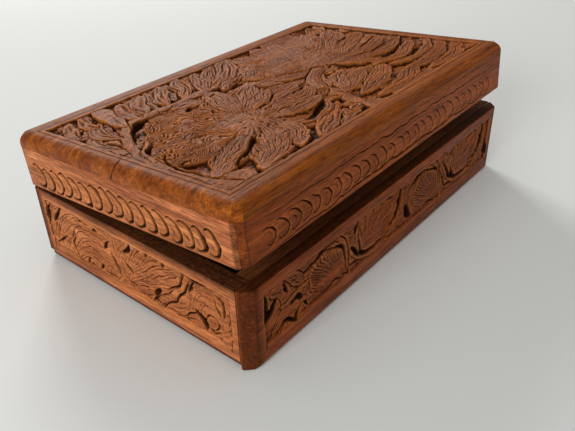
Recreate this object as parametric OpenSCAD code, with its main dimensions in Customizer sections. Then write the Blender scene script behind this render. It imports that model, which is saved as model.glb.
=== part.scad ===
// Carved wooden puzzle box: a base, a hinged lid and two hidden slides.
//
// To open it, the bottom board slides out at the left end and lets the key drop
// from a pocket under the floor. The carved face board then slides to the right
// and uncovers the keyhole. The key draws the bolt and the lid lifts.
//
// Millimetres. +X runs along the long side, the opening side faces -Y and +Z is
// up. The origin is the middle of the base, on the surface that it stands on.
// The lid is drawn ajar, the way the box stands when it has been unlocked.

/* [Box] */
// Length over the long side
box_length = 200; // [190:1:230]
// Width from the opening side to the hinged side
box_width = 127; // [118:1:150]
// Height of the base up to its rim
base_height = 36.4; // [34:0.2:44]
// Cut across the upright corners of the base
base_corner_cut = 4; // [1:0.5:5]
// Bevel along the foot of the base
foot_bevel = 1.2; // [0.4:0.1:2]

/* [Walls] */
// Thickness of the sliding face board
face_thick = 5.2; // [5:0.1:6]
// Thickness of the fixed wall behind the face board
inner_thick = 6; // [5.5:0.1:8]
// Thickness of the back wall
back_thick = 7.5; // [7:0.1:10]
// Thickness of the two end walls
end_thick = 7.5; // [6:0.1:10]
// Thickness of the fixed floor
floor_thick = 6.5; // [5.5:0.1:8]
// Air between the face board and the wall that it slides on
face_gap = 0.3; // [0.25:0.05:0.5]

/* [Lid] */
// Angle that the lid stands open
lid_open = 4.4; // [2:0.1:8]
// Air between the rim and the closed lid
lid_gap = 0.4; // [0.3:0.05:0.6]
// Height of the rails that make the lid's sides
rail_height = 17.6; // [16:0.1:22]
// Thickness of the carved board on top
lid_board_thick = 6.2; // [5.5:0.1:8]
// Rounding along the top edge of the lid
lid_edge_round = 4.6; // [2:0.1:5]
// Cut across the upright corners of the lid
lid_corner_cut = 3.2; // [1:0.1:5]

/* [Carving] */
// Depth of the sunk field on the lid
lid_field_depth = 2.8; // [1.5:0.1:3.5]
// Depth of the sunk fields round the base
side_field_depth = 2.4; // [1:0.1:2.8]
// How far the leaves round the base stay below the wood around them
leaf_drop = 0.7; // [0.3:0.1:1.2]
// How far the broad leaves of the lid stay below its border
lid_leaf_drop = 1; // [0.5:0.1:1.4]
// How far its other leaves stay below the broad ones
lid_leaf_step = 0.5; // [0.2:0.1:0.6]
// Plain wood left beside the lid's field along the long edges
lid_border_long = 9.5; // [7:0.5:14]
// Plain wood left beside the lid's field along the short edges
lid_border_short = 7; // [6:0.5:14]
// Plain wood under the fields of the base
side_border_foot = 8.5; // [6:0.5:10]
// Plain wood over the fields of the base
side_border_head = 4.8; // [3:0.2:7]
// Plain wood at the ends of the fields of the base
side_border_end = 8.5; // [7:0.5:12]
// Distance from one leaf of the running vine to the next
vine_pitch = 40; // [34:1:50]
// Radius of a round leaf on the running vine
vine_leaf_radius = 13; // [10:0.5:15]
// Distance between the gouge cuts on the lid's rails
scallop_pitch = 6.8; // [5:0.2:9]
// Radius of a gouge cut
scallop_radius = 4.2; // [3:0.1:5]
// Depth of a gouge cut
scallop_depth = 0.6; // [0.3:0.1:1]

/* [Sliding bottom] */
// Thickness of the sliding bottom
bottom_thick = 3; // [2.6:0.1:3.4]
// Air above and below the sliding bottom
bottom_gap = 0.3; // [0.25:0.05:0.5]
// Slope of its dovetailed edges, from top to underside
bottom_slope = 1.2; // [0.6:0.1:1.5]
// How far its back edge reaches into the back wall
bottom_reach_back = 2.5; // [1.5:0.1:3]
// How far its front edge reaches under the inner wall
bottom_reach_front = 4; // [3:0.1:4.2]
// How far its end stands back from the left end of the box
bottom_setback = 0.8; // [0:0.1:2]
// Travel of the sliding bottom
bottom_travel = 45; // [42:1:60]
// Radius of the peg that stops it
stop_radius = 1.4; // [1:0.1:2]
// Height that the peg stands over the sliding bottom
stop_height = 2.4; // [1.5:0.1:3]

/* [Sliding face] */
// Travel of the face board
face_travel = 34; // [30:1:40]
// Distance from the lock to the dovetailed batten behind it
batten_from_lock = 16; // [12:1:40]
// Height of the batten where it meets the face board
batten_height = 9; // [6:0.5:12]
// Thickness of the batten
batten_thick = 3.4; // [2.5:0.1:3.6]
// Spread of the batten's dovetail on each side
batten_slope = 1; // [0.5:0.1:1.5]
// Height of the batten's middle line over the foot
batten_level = 19; // [17:0.5:22]
// Air around the batten in its groove
batten_gap = 0.3; // [0.25:0.05:0.5]

/* [Hinges] */
// Length of a hinge
hinge_length = 25; // [20:1:35]
// Distance of each hinge from the middle of the box
hinge_place = 60; // [40:1:70]
// Radius of the hinge barrel
barrel_radius = 1.6; // [1.4:0.1:2]
// Radius of the hinge pin
pin_radius = 0.7; // [0.5:0.1:0.9]
// Running clearance of the pin in its knuckles
pin_clearance = 0.05; // [0.02:0.01:0.09]
// Distance of the hinge line behind the back wall
hinge_offset = 0.3; // [0.2:0.05:0.5]
// Thickness of a hinge leaf
leaf_thick = 1; // [0.8:0.1:1.2]
// Depth of a hinge leaf over the wall
leaf_depth = 6; // [5:0.1:6.4]
// Air between the knuckles and around the barrel
knuckle_gap = 0.3; // [0.2:0.05:0.4]

/* [Lock] */
// Distance of the key's axis from the left end of the box
key_inset = 20; // [18:0.5:22]
// Height of the key's axis over the foot
key_level = 24; // [23:0.5:26]
// Length of the lock case
lock_length = 22; // [20:0.5:24]
// Inner depth of the lock case
lock_depth = 5.6; // [5.2:0.1:6.5]
// Thickness of the lock's sheet brass
lock_sheet = 0.8; // [0.6:0.1:1]
// Travel of the bolt
bolt_travel = 5; // [4:0.1:5.2]
// Thickness of the bolt
bolt_thick = 1.3; // [1:0.1:1.5]
// Height of the bolt's nose
bolt_nose = 2.2; // [1.8:0.1:2.6]
// Air around the bolt and the staple
lock_gap = 0.3; // [0.2:0.05:0.4]
// Radius of the post that the key turns on
post_radius = 0.9; // [0.7:0.1:1.1]
// Radius of the brass plate around the keyhole
keyhole_plate_radius = 7.5; // [6:0.5:8]

/* [Key] */
// Length of the key
key_length = 31; // [28:0.5:34]
// Radius of the key's shank
key_shank = 1.5; // [1.4:0.05:1.8]
// Radius of the key's bow
key_bow = 6; // [5:0.5:7]
// How far the bit stands out from the key's axis
key_bit = 4.2; // [4:0.1:4.4]
// Air around the key in its pocket
key_air = 0.8; // [0.5:0.1:1.5]

/* [Screws] */
// Radius of a screw's shank
screw_radius = 0.8; // [0.6:0.05:0.9]
// Radius of a screw's head
screw_head = 1.5; // [1.3:0.1:1.7]
// Length of the hinge screws
hinge_screw_length = 8; // [5:0.5:12]
// Length of the short screws of the lock and the strike plate
short_screw_length = 4.5; // [3:0.5:5]
// Air around the shanks in their holes
screw_air = 0.05; // [0.02:0.01:0.1]

/* [Hidden] */
$fn = 48;

over = 1;                 // how far a cut runs past the face that it opens
wood_tone = "#a5673f";
dark_wood_tone = "#7d4a2c";
inside_tone = "#8c5a38";
brass_tone = "#b5923f";
steel_tone = "#8d8f92";

// Faces of the walls
left = -box_length / 2;
right = box_length / 2;
front = -box_width / 2;
back = box_width / 2;
face_back = front + face_thick;
inner_front = face_back + face_gap;
inner_back = inner_front + inner_thick;
back_inside = back - back_thick;
left_inside = left + end_thick;
right_inside = right - end_thick;

// Levels
bottom_under = bottom_gap;
bottom_top = bottom_under + bottom_thick;
floor_under = bottom_top + bottom_gap;
floor_top = floor_under + floor_thick;
lid_under = base_height + lid_gap;
rail_top = lid_under + rail_height;
lid_top = rail_top + lid_board_thick;

// Hinge line
hinge_y = back + hinge_offset;
hinge_z = base_height + lid_gap / 2;

// Sliding bottom
bottom_left = left + bottom_setback;
bottom_right = right_inside - bottom_gap;
stop_inset = 5;
stop_x = bottom_right - bottom_travel - stop_inset;
stop_socket_floor = bottom_under + 0.8;

// Lock case
key_to_lock_end = 8;
key_to_lock_floor = 2.5;
ear_height = 5;
key_x = left + key_inset;
lock_left = key_x - key_to_lock_end;
lock_right = lock_left + lock_length;
lock_inside = inner_back + lock_sheet;
lock_back = lock_inside + lock_depth;
lock_floor = key_level - key_bit - key_to_lock_floor;

// Batten behind the face board
batten_left = lock_right + batten_from_lock;
batten_right = right_inside - batten_gap - face_travel;

// Bolt
bolt_head_room = 1.8;
bolt_end_room = 3.2;
bit_overlap = 0.8;
talon_radius = 1.6;
bolt_top = base_height - lock_sheet - bolt_head_room;
bolt_foot = key_level + key_bit - bit_overlap;
bolt_y = lock_inside + lock_depth / 2;
bolt_left = lock_left + bolt_end_room;
bolt_tip = lock_right - lock_sheet - lock_gap - bolt_travel;

// Staple and strike plate
staple_thick = 2;
staple_wall = 1.2;
staple_play = 0.6;
strike_wide = 14;
strike_height = 11;
strike_lift = 1;
staple_x = bolt_tip + bit_overlap + staple_thick / 2;
staple_wide = lock_depth - 2 * staple_play;
staple_foot = bolt_top - bolt_nose - lock_gap - staple_wall;

// Key, lying in its pocket under the floor
key_clear_of_end = 6;
bow_thick = 2.2;
bow_ring = 2.4;
bit_thick = 1.6;
bit_length = 4.5;
barrel_depth = 8;
key_tip_x = right_inside - key_clear_of_end;
key_bow_x = key_tip_x - key_length + key_bow;
key_y = (inner_back + back_inside) / 2;
key_z = bottom_top + bottom_gap + key_shank;
pocket_top = key_z + key_shank + bottom_gap;

// Fields of the carving
side_field_head = base_height - side_border_head;

// Small nails
nail_radius = 0.6;
nail_bite = 1.6;
keyhole_nail = 4;
nail_inset = 10;

// Hinge knuckles, as shares of a hinge's length counted from its middle
knuckle_end = 0.5;
knuckle_edge = 1 / 6;
knuckle_air = knuckle_gap / 2 / hinge_length;

// ---------------------------------------------------------------- helpers

module along_x(from, to) {
  translate([from, 0, 0]) rotate([90, 0, 90]) linear_extrude(to - from) children();
}

module along_y(from, to) {
  translate([0, to, 0]) rotate([90, 0, 0]) linear_extrude(to - from) children();
}

module along_z(from, to) {
  translate([0, 0, from]) linear_extrude(to - from) children();
}

module block(low, high) {
  translate(low) cube(high - low);
}

// Plan of the whole box with its upright corners cut off
module plan(cut) {
  polygon([
    [left + cut, front], [right - cut, front], [right, front + cut], [right, back - cut],
    [right - cut, back], [left + cut, back], [left, back - cut], [left, front + cut]
  ]);
}

// Turns a lid that is drawn closed to the angle that it stands open
module ajar() {
  translate([0, hinge_y, hinge_z]) rotate([-lid_open, 0, 0]) translate([0, -hinge_y, -hinge_z])
    children();
}

// Stands a flat drawing on a side of the box: 0 front, -90 left, 90 right, 180 back
module on_side(turn, reach) {
  rotate([0, 0, turn]) rotate([90, 0, 0]) translate([0, 0, reach]) children();
}

// A wood screw along -Z: countersunk head flush with the origin, then its shank
module screw(length, air = 0) {
  head_height = screw_head - screw_radius;
  translate([0, 0, -head_height])
    cylinder(h = head_height, r1 = screw_radius + air, r2 = screw_head + air);
  translate([0, 0, -length - air]) cylinder(h = length + air, r = screw_radius + air);
}

// ---------------------------------------------------------------- carving

module leaf(length, width) {
  radius = (length * length / 4 + width * width / 4) / width;
  shift = radius - width / 2;
  translate([length / 2, 0]) intersection() {
    translate([0, shift]) circle(radius);
    translate([0, -shift]) circle(radius);
  }
}

module stem_arc(radius, width, from, to) {
  intersection() {
    difference() {
      circle(radius + width / 2);
      circle(radius - width / 2);
    }
    polygon([
      [0, 0],
      for (step = [0:4]) let (a = from + (to - from) * step / 4) 2 * radius * [cos(a), sin(a)]
    ]);
  }
}

module side_field(length) {
  translate([-length / 2, side_border_foot]) square([length, side_field_head - side_border_foot]);
}

// Round leaves that stand and hang in turn along a waving stem
module running_vine(length) {
  copies = floor(length / vine_pitch);
  middle = (side_border_foot + side_field_head) / 2;
  stem_width = 2;
  stem_wrap = 20;
  lean = 5.5;
  intersection() {
    side_field(length);
    for (i = [0:copies - 1]) {
      way = i % 2 == 0 ? 1 : -1;
      place = (i - (copies - 1) / 2) * vine_pitch;
      translate([place, middle - way * lean]) {
        circle(vine_leaf_radius);
        rotate(way > 0 ? 0 : 180)
          stem_arc(vine_leaf_radius + 4.5, stem_width, -stem_wrap, 180 + stem_wrap);
      }
    }
  }
}

// Cuts a sunk field into one side and leaves its vine standing in it
module side_carving(turn, reach, length) {
  on_side(turn, reach - side_field_depth) difference() {
    linear_extrude(side_field_depth + over) side_field(length);
    linear_extrude(side_field_depth - leaf_drop) running_vine(length);
  }
}

// Lobes that spread like a hand from a round heart
module spread_leaf(lobes, length, width, from, to, heart) {
  root = length / 8;
  for (i = [0:lobes - 1])
    rotate(from + (to - from) * i / (lobes - 1)) translate([root, 0]) leaf(length - root, width);
  circle(heart);
}

module lid_field() {
  translate([left + lid_border_short, front + lid_border_long])
    square([box_length - 2 * lid_border_short, box_width - 2 * lid_border_long]);
}

// The two leaves that stand highest in the lid's field, and the mound in its near corner
module lid_broad_leaves() {
  near_leaf_at = [left + 58, front + 46];
  far_leaf_at = [right - 66, front + 62];
  sprig_at = [left + 40, back - 39];
  mound_at = [left + 15, front + 17];
  mound_radius = 10;
  translate(near_leaf_at) spread_leaf(9, 47, 26, -160, 160, 27);
  translate(far_leaf_at) spread_leaf(8, 60, 26, -32, 130, 24);
  translate(sprig_at) spread_leaf(5, 28, 13, 30, 165, 8);
  translate(mound_at) circle(mound_radius);
}

// The stem round the near leaf and the lower leaves in the gaps
module lid_low_leaves() {
  stem_centre = [left + 58, front + 46];
  stem_radius = 48;
  stem_width = 6;
  stem_leaf_at = [left + 22, back - 61];
  high_leaf_at = [left + 82, back - 41];
  middle_leaf_at = [right - 88, back - 61];
  low_leaf_at = [left + 102, front + 8];
  last_leaf_at = [right - 58, front + 20];
  translate(stem_centre) stem_arc(stem_radius, stem_width, 58, 215);
  translate(stem_leaf_at) spread_leaf(3, 30, 12, 75, 150, 4);
  translate(high_leaf_at) spread_leaf(4, 38, 17, 30, 112, 8);
  translate(middle_leaf_at) spread_leaf(2, 26, 14, 140, 185, 6);
  translate(low_leaf_at) spread_leaf(5, 50, 18, 8, 76, 8);
  translate(last_leaf_at) spread_leaf(3, 49, 15, -6, 24, 8);
}

// A row of crescent gouge cuts on one rail of the lid
module rail_scallops(turn, reach, length) {
  copies = floor(length / scallop_pitch);
  middle = lid_under + 2 + scallop_radius;
  on_side(turn, reach - scallop_depth) linear_extrude(scallop_depth + over)
    for (i = [0:copies - 1])
      translate([(i - (copies - 1) / 2) * scallop_pitch, middle])
        difference() {
          circle(scallop_radius);
          translate([-0.9, 0.5]) circle(scallop_radius);
        }
}

// ---------------------------------------------------------------- base

// Undercut strip of space that the sliding bottom runs in
module bottom_space(air) {
  y_front = inner_back - bottom_reach_front - air;
  y_back = back_inside + bottom_reach_back + air;
  polygon([
    [y_front, bottom_top + air], [y_back, bottom_top + air],
    [y_back - bottom_slope, bottom_under], [y_back - bottom_slope, -over],
    [y_front + bottom_slope, -over], [y_front + bottom_slope, bottom_under]
  ]);
}

module hinge_cuts(z) {
  for (side = [-1, 1]) {
    along_x(side * hinge_place - hinge_length / 2 - knuckle_gap,
            side * hinge_place + hinge_length / 2 + knuckle_gap)
      translate([hinge_y, hinge_z]) circle(barrel_radius + knuckle_gap);
    block([side * hinge_place - hinge_length / 2, back - leaf_depth, z - leaf_thick / 2],
          [side * hinge_place + hinge_length / 2, back + over, z + leaf_thick / 2]);
  }
}

module hinge_screw_places() {
  for (side = [-1, 1], end = [-1, 1])
    translate([side * hinge_place + end * hinge_length * 0.3, back - leaf_depth * 0.6, 0])
      children();
}

module back_board() {
  color(wood_tone) difference() {
    intersection() {
      along_x(left, right) polygon([
        [back_inside, 0], [back - foot_bevel, 0], [back, foot_bevel],
        [back, base_height], [back_inside, base_height]
      ]);
      along_z(0, base_height) plan(base_corner_cut);
    }
    along_x(left - over, right_inside) bottom_space(bottom_gap);
    block([left - over, back_inside - over, -over], [left_inside, back + over, floor_under]);
    side_carving(180, back, box_length - 2 * side_border_end);
    hinge_cuts(base_height - leaf_thick / 2);
    hinge_screw_places() translate([0, 0, base_height])
      screw(hinge_screw_length, screw_air);
  }
}

module end_board_blank(outer, inner, foot) {
  along_y(inner_front, back_inside) polygon([
    [inner, foot], [outer, foot], [outer, base_height], [inner, base_height]
  ]);
}

module left_end_board() {
  color(wood_tone) difference() {
    end_board_blank(left, left_inside, floor_under);
    side_carving(-90, -left, box_width - 2 * side_border_end);
  }
}

module right_end_board() {
  color(wood_tone) difference() {
    end_board_blank(right, right_inside, 0);
    side_carving(90, right, box_width - 2 * side_border_end);
    along_y(front, back) polygon([
      [right + over, -over], [right + over, foot_bevel + over], [right - foot_bevel - over, -over]
    ]);
  }
}

// Plan of the batten seen from above, or of its groove with air around it
module batten_section(air, depth) {
  polygon([
    [inner_front - over, batten_level - batten_height / 2 - air],
    [inner_front, batten_level - batten_height / 2 - air],
    [inner_front + depth, batten_level - batten_height / 2 - batten_slope - air],
    [inner_front + depth, batten_level + batten_height / 2 + batten_slope + air],
    [inner_front, batten_level + batten_height / 2 + air],
    [inner_front - over, batten_level + batten_height / 2 + air]
  ]);
}

module keyhole(air = 0) {
  circle(key_shank + 0.4 + air);
  translate([-1.1 - air, -key_bit - 0.5 - air])
    square([2.2 + 2 * air, key_bit + 0.5]);
}

module lock_screw_places() {
  for (x = [lock_left + 3, lock_right - 3])
    translate([x, inner_back + lock_sheet, lock_floor - ear_height / 2]) rotate([-90, 0, 0])
      children();
}

module keyhole_pin_places() {
  for (side = [-1, 1])
    translate([key_x + side * (keyhole_plate_radius - 1.6), inner_front, key_level])
      rotate([-90, 0, 0]) children();
}

module inner_front_board() {
  color(inside_tone) difference() {
    along_x(left_inside, right_inside) polygon([
      [inner_front, 0], [inner_back, 0], [inner_back, base_height], [inner_front, base_height]
    ]);
    along_x(left, right) bottom_space(bottom_gap);
    along_x(batten_left - batten_gap, right_inside + over)
      batten_section(batten_gap, batten_thick - face_gap + batten_gap);
    translate([key_x, 0, key_level]) along_y(front, inner_back + over) keyhole();
    translate([key_x, 0, key_level]) along_y(front, inner_front + lock_sheet)
      circle(keyhole_plate_radius);
    keyhole_pin_places() translate([0, 0, -over])
      cylinder(h = over + keyhole_nail + screw_air, r = nail_radius + screw_air);
    lock_screw_places() screw(short_screw_length, screw_air);
  }
}

module key_pocket() {
  block([key_bow_x - key_bow - key_air, key_y - key_bow - key_air, floor_under - over],
        [key_tip_x + key_air, key_y + key_bow + key_air, pocket_top]);
}

module floor_board() {
  color(inside_tone) difference() {
    block([left_inside, inner_back, floor_under], [right_inside, back_inside, floor_top]);
    key_pocket();
    block([stop_x - bottom_travel - stop_radius - bottom_gap, -stop_radius - bottom_gap,
           floor_under - over],
          [stop_x + stop_radius + bottom_gap, stop_radius + bottom_gap,
           bottom_top + stop_height + bottom_gap]);
  }
}

// ---------------------------------------------------------------- slides

module face_board() {
  color(dark_wood_tone) difference() {
    intersection() {
      along_x(left, right) polygon([
        [face_back, 0], [front + foot_bevel, 0], [front, foot_bevel],
        [front, base_height], [face_back, base_height]
      ]);
      along_z(0, base_height) plan(base_corner_cut);
    }
    side_carving(0, -front, box_length - 2 * side_border_end);
    batten_pin_places() along_y(face_back - nail_bite - screw_air, back)
      circle(nail_radius + screw_air);
  }
}

module batten_pin_places() {
  for (x = [batten_left + nail_inset, (batten_left + batten_right) / 2, batten_right - nail_inset])
    translate([x, 0, batten_level]) children();
}

module face_batten() {
  color(inside_tone) difference() {
    intersection() {
      along_x(batten_left, batten_right) batten_section(0, batten_thick - face_gap);
      block([left, face_back, 0], [right, back, base_height]);
    }
    batten_pin_places() along_y(front, back) circle(nail_radius + screw_air);
  }
}

module batten_pins() {
  color(steel_tone) batten_pin_places()
    along_y(face_back - nail_bite, face_back + batten_thick - screw_air) circle(nail_radius);
}

// The board that slides out, with a wider end that runs under the whole left wall
module sliding_bottom() {
  color(dark_wood_tone) difference() {
    union() {
      intersection() {
        along_x(bottom_left, bottom_right) bottom_space(0);
        block([left, front, bottom_under], [right, back, bottom_top]);
      }
      along_z(bottom_under, bottom_top) intersection() {
        translate([bottom_setback, -bottom_setback]) plan(base_corner_cut);
        translate([left, inner_front]) square([end_thick - bottom_gap, back - inner_front]);
      }
    }
    along_y(front, back) polygon([
      [bottom_left - over, -over], [bottom_left + foot_bevel + over, -over],
      [bottom_left - over, foot_bevel + over]
    ]);
    translate([stop_x, 0, stop_socket_floor])
      cylinder(h = bottom_thick, r = stop_radius + screw_air);
  }
}

module bottom_stop_peg() {
  color(inside_tone) translate([stop_x, 0, stop_socket_floor])
    cylinder(h = bottom_top + stop_height - stop_socket_floor, r = stop_radius);
}

// ---------------------------------------------------------------- lock

module lock_case() {
  color(brass_tone) difference() {
    union() {
      block([lock_left, inner_back, lock_floor], [lock_right, lock_back, base_height]);
      block([lock_left, inner_back, lock_floor - ear_height],
            [lock_right, lock_inside, lock_floor]);
    }
    difference() {
      block([lock_left + lock_sheet, lock_inside, lock_floor + lock_sheet],
            [lock_right - lock_sheet, lock_back + over, base_height - lock_sheet]);
      // rib that the bolt slides against
      block([bolt_left - 1, inner_back, key_level + key_bit + 0.4],
            [bolt_tip - 1, bolt_y - bolt_thick / 2 - lock_gap, bolt_top]);
    }
    block([staple_x - staple_thick / 2 - lock_gap, lock_inside, base_height - over],
          [staple_x + staple_thick / 2 + lock_gap, lock_back, base_height + over]);
    translate([key_x, 0, key_level]) along_y(inner_back - over, lock_inside + over) keyhole();
    lock_screw_places() screw(short_screw_length, screw_air);
  }
}

module lock_cap() {
  color(brass_tone) difference() {
    block([lock_left, lock_back, lock_floor], [lock_right, lock_back + lock_sheet, base_height]);
    translate([key_x, 0, key_level]) along_y(lock_back - over, lock_back + 2)
      circle(post_radius + screw_air);
  }
}

module key_post() {
  color(steel_tone) translate([key_x, 0, key_level])
    along_y(inner_back - 2, lock_back + lock_sheet) circle(post_radius);
}

module lock_screws() {
  color(steel_tone) lock_screw_places() screw(short_screw_length);
}

module keyhole_plate() {
  color(brass_tone) difference() {
    translate([key_x, 0, key_level]) along_y(inner_front, inner_front + lock_sheet) difference() {
      circle(keyhole_plate_radius);
      keyhole();
    }
    keyhole_pin_places() translate([0, 0, -over]) cylinder(h = over + keyhole_nail, r = nail_radius + screw_air);
  }
}

module keyhole_pins() {
  color(brass_tone) keyhole_pin_places() cylinder(h = keyhole_nail, r = nail_radius);
}

module lock_bolt() {
  color(brass_tone) difference() {
    union() {
      block([bolt_left, bolt_y - bolt_thick / 2, bolt_foot],
            [bolt_tip - bolt_travel - 1, bolt_y + bolt_thick / 2, bolt_top]);
      block([bolt_left, bolt_y - bolt_thick / 2, bolt_top - bolt_nose],
            [bolt_tip, bolt_y + bolt_thick / 2, bolt_top]);
    }
    // notch that the key's bit pushes on
    translate([key_x, 0, bolt_foot]) along_y(inner_back, back) circle(talon_radius);
  }
}

// A bent leaf that lies on the bolt with its foot and rubs along the lock's cap with its tail
module bolt_spring() {
  spring_thick = 0.4;
  foot_length = 2.5;
  tail_length = 1.8;
  low = bolt_y + bolt_thick / 2;
  high = lock_back - lock_gap;
  start = bolt_left + 0.5;
  end = staple_x - staple_thick / 2 - lock_gap - bolt_travel;
  color(steel_tone) along_z(bolt_top - bolt_nose, bolt_top) polygon([
    [start, low], [start + foot_length, low],
    [end - tail_length, high - spring_thick], [end, high - spring_thick],
    [end, high], [end - tail_length - spring_thick / 2, high],
    [start + foot_length - spring_thick / 2, low + spring_thick], [start, low + spring_thick]
  ]);
}

module key() {
  color(steel_tone) difference() {
    union() {
      translate([key_bow_x, key_y, key_z - bow_thick / 2]) difference() {
        cylinder(h = bow_thick, r = key_bow);
        translate([0, 0, -over]) cylinder(h = bow_thick + 2 * over, r = key_bow - bow_ring);
      }
      translate([0, key_y, key_z])
        along_x(key_bow_x + key_bow - bow_ring / 2, key_tip_x) circle(key_shank);
      block([key_tip_x - 1 - bit_length, key_y, key_z - bit_thick / 2],
            [key_tip_x - 1, key_y + key_bit, key_z + bit_thick / 2]);
    }
    translate([0, key_y, key_z]) along_x(key_tip_x - barrel_depth, key_tip_x + over)
      circle(post_radius + screw_air);
  }
}

// ---------------------------------------------------------------- lid

// The lid's outline seen from one end, with its top edges rounded
module rounded_section(half, low, high) {
  r = lid_edge_round;
  translate([-half, low]) square([2 * half, high - low - r]);
  translate([-half + r, low]) square([2 * (half - r), high - low]);
  for (side = [-1, 1]) translate([side * (half - r), high - r]) circle(r);
}

module lid_board() {
  color(wood_tone) ajar() difference() {
    intersection() {
      along_x(left, right) rounded_section(back, rail_top, lid_top);
      along_y(front, back) rounded_section(right, rail_top, lid_top);
      along_z(rail_top, lid_top) plan(lid_corner_cut);
    }
    difference() {
      along_z(lid_top - lid_field_depth, lid_top + over) lid_field();
      along_z(lid_top - lid_field_depth - over, lid_top - lid_leaf_drop) lid_broad_leaves();
      along_z(lid_top - lid_field_depth - over, lid_top - lid_leaf_drop - lid_leaf_step)
        lid_low_leaves();
    }
  }
}

// A rail of the lid from its plan, which is mitred into the rails beside it
module rail_blank(corners) {
  along_z(lid_under, rail_top) intersection() {
    polygon(corners);
    plan(lid_corner_cut);
  }
}

module strike_screw_places() {
  for (side = [-1, 1])
    translate([staple_x + side * strike_wide * 0.32, inner_back + lock_sheet,
               lid_under + strike_lift + strike_height * 0.7]) rotate([-90, 0, 0]) children();
}

module lid_front_rail() {
  color(dark_wood_tone) ajar() difference() {
    rail_blank([[left, front], [right, front], [right_inside, inner_back],
                [left_inside, inner_back]]);
    rail_scallops(0, -front, box_length - 4 * scallop_pitch);
    strike_screw_places() screw(short_screw_length, screw_air);
  }
}

module lid_back_rail() {
  color(dark_wood_tone) ajar() difference() {
    rail_blank([[left, back], [left_inside, back_inside], [right_inside, back_inside],
                [right, back]]);
    rail_scallops(180, back, box_length - 4 * scallop_pitch);
    hinge_cuts(lid_under + leaf_thick / 2);
    hinge_screw_places() translate([0, 0, lid_under]) rotate([180, 0, 0])
      screw(hinge_screw_length, screw_air);
  }
}

module lid_left_rail() {
  color(wood_tone) ajar() difference() {
    rail_blank([[left, front], [left_inside, inner_back], [left_inside, back_inside],
                [left, back]]);
    rail_scallops(-90, -left, box_width - 3 * scallop_pitch);
  }
}

module lid_right_rail() {
  color(wood_tone) ajar() difference() {
    rail_blank([[right, front], [right, back], [right_inside, back_inside],
                [right_inside, inner_back]]);
    rail_scallops(90, right, box_width - 3 * scallop_pitch);
  }
}

module strike_plate() {
  flange_low = lid_under + strike_lift;
  flange_high = flange_low + 1.2;
  staple_front = bolt_y - staple_wide / 2;
  staple_back = bolt_y + staple_wide / 2;
  hole_wide = bolt_thick + 2 * lock_gap;
  color(brass_tone) ajar() difference() {
    union() {
      block([staple_x - strike_wide / 2, inner_back, flange_low],
            [staple_x + strike_wide / 2, lock_inside, flange_low + strike_height]);
      block([staple_x - staple_thick / 2, inner_back, flange_low],
            [staple_x + staple_thick / 2, staple_back, flange_high]);
      block([staple_x - staple_thick / 2, staple_front, staple_foot],
            [staple_x + staple_thick / 2, staple_back, flange_high]);
    }
    block([staple_x - staple_thick, bolt_y - hole_wide / 2, bolt_top - bolt_nose - lock_gap],
          [staple_x + staple_thick, bolt_y + hole_wide / 2, bolt_top + lock_gap]);
    strike_screw_places() screw(short_screw_length, screw_air);
  }
}

module strike_screws() {
  color(steel_tone) ajar() strike_screw_places() screw(short_screw_length);
}

// ---------------------------------------------------------------- hinges

// The flat part of both hinges' leaves, lying on the wall at height z
module leaf_plates(z) {
  for (side = [-1, 1])
    block([side * hinge_place - hinge_length / 2, back - leaf_depth, z - leaf_thick / 2],
          [side * hinge_place + hinge_length / 2, hinge_y, z + leaf_thick / 2]);
}

// A knuckle of both hinges, from one share of the hinge's length to another
module knuckles(from, to, radius) {
  for (side = [-1, 1])
    along_x(side * hinge_place + from * hinge_length, side * hinge_place + to * hinge_length)
      translate([hinge_y, hinge_z]) circle(radius);
}

module case_hinge_leaves() {
  color(brass_tone) difference() {
    union() {
      difference() {
        leaf_plates(base_height - leaf_thick / 2);
        knuckles(-knuckle_edge - knuckle_air, knuckle_edge + knuckle_air, barrel_radius + knuckle_gap);
      }
      knuckles(-knuckle_end, -knuckle_edge - knuckle_air, barrel_radius);
      knuckles(knuckle_edge + knuckle_air, knuckle_end, barrel_radius);
    }
    knuckles(-1, 1, pin_radius + pin_clearance);
    hinge_screw_places() translate([0, 0, base_height]) screw(hinge_screw_length, screw_air);
  }
}

module lid_hinge_leaves() {
  color(brass_tone) ajar() difference() {
    union() {
      difference() {
        leaf_plates(lid_under + leaf_thick / 2);
        knuckles(-knuckle_end, -knuckle_edge + knuckle_air, barrel_radius + knuckle_gap);
        knuckles(knuckle_edge - knuckle_air, knuckle_end, barrel_radius + knuckle_gap);
      }
      knuckles(-knuckle_edge + knuckle_air, knuckle_edge - knuckle_air, barrel_radius);
    }
    knuckles(-1, 1, pin_radius + pin_clearance);
    hinge_screw_places() translate([0, 0, lid_under]) rotate([180, 0, 0])
      screw(hinge_screw_length, screw_air);
  }
}

module hinge_pins() {
  color(steel_tone) knuckles(-knuckle_end, knuckle_end, pin_radius);
}

module case_hinge_screws() {
  color(steel_tone) hinge_screw_places() translate([0, 0, base_height])
    screw(hinge_screw_length);
}

module lid_hinge_screws() {
  color(steel_tone) ajar() hinge_screw_places() translate([0, 0, lid_under])
    rotate([180, 0, 0]) screw(hinge_screw_length);
}

// ---------------------------------------------------------------- nodes

back_board();
left_end_board();
right_end_board();
inner_front_board();
floor_board();
face_board();
face_batten();
batten_pins();
sliding_bottom();
bottom_stop_peg();
lock_case();
lock_cap();
key_post();
lock_screws();
keyhole_plate();
keyhole_pins();
lock_bolt();
bolt_spring();
key();
lid_board();
lid_front_rail();
lid_back_rail();
lid_left_rail();
lid_right_rail();
strike_plate();
strike_screws();
case_hinge_leaves();
lid_hinge_leaves();
hinge_pins();
case_hinge_screws();
lid_hinge_screws();
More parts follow.
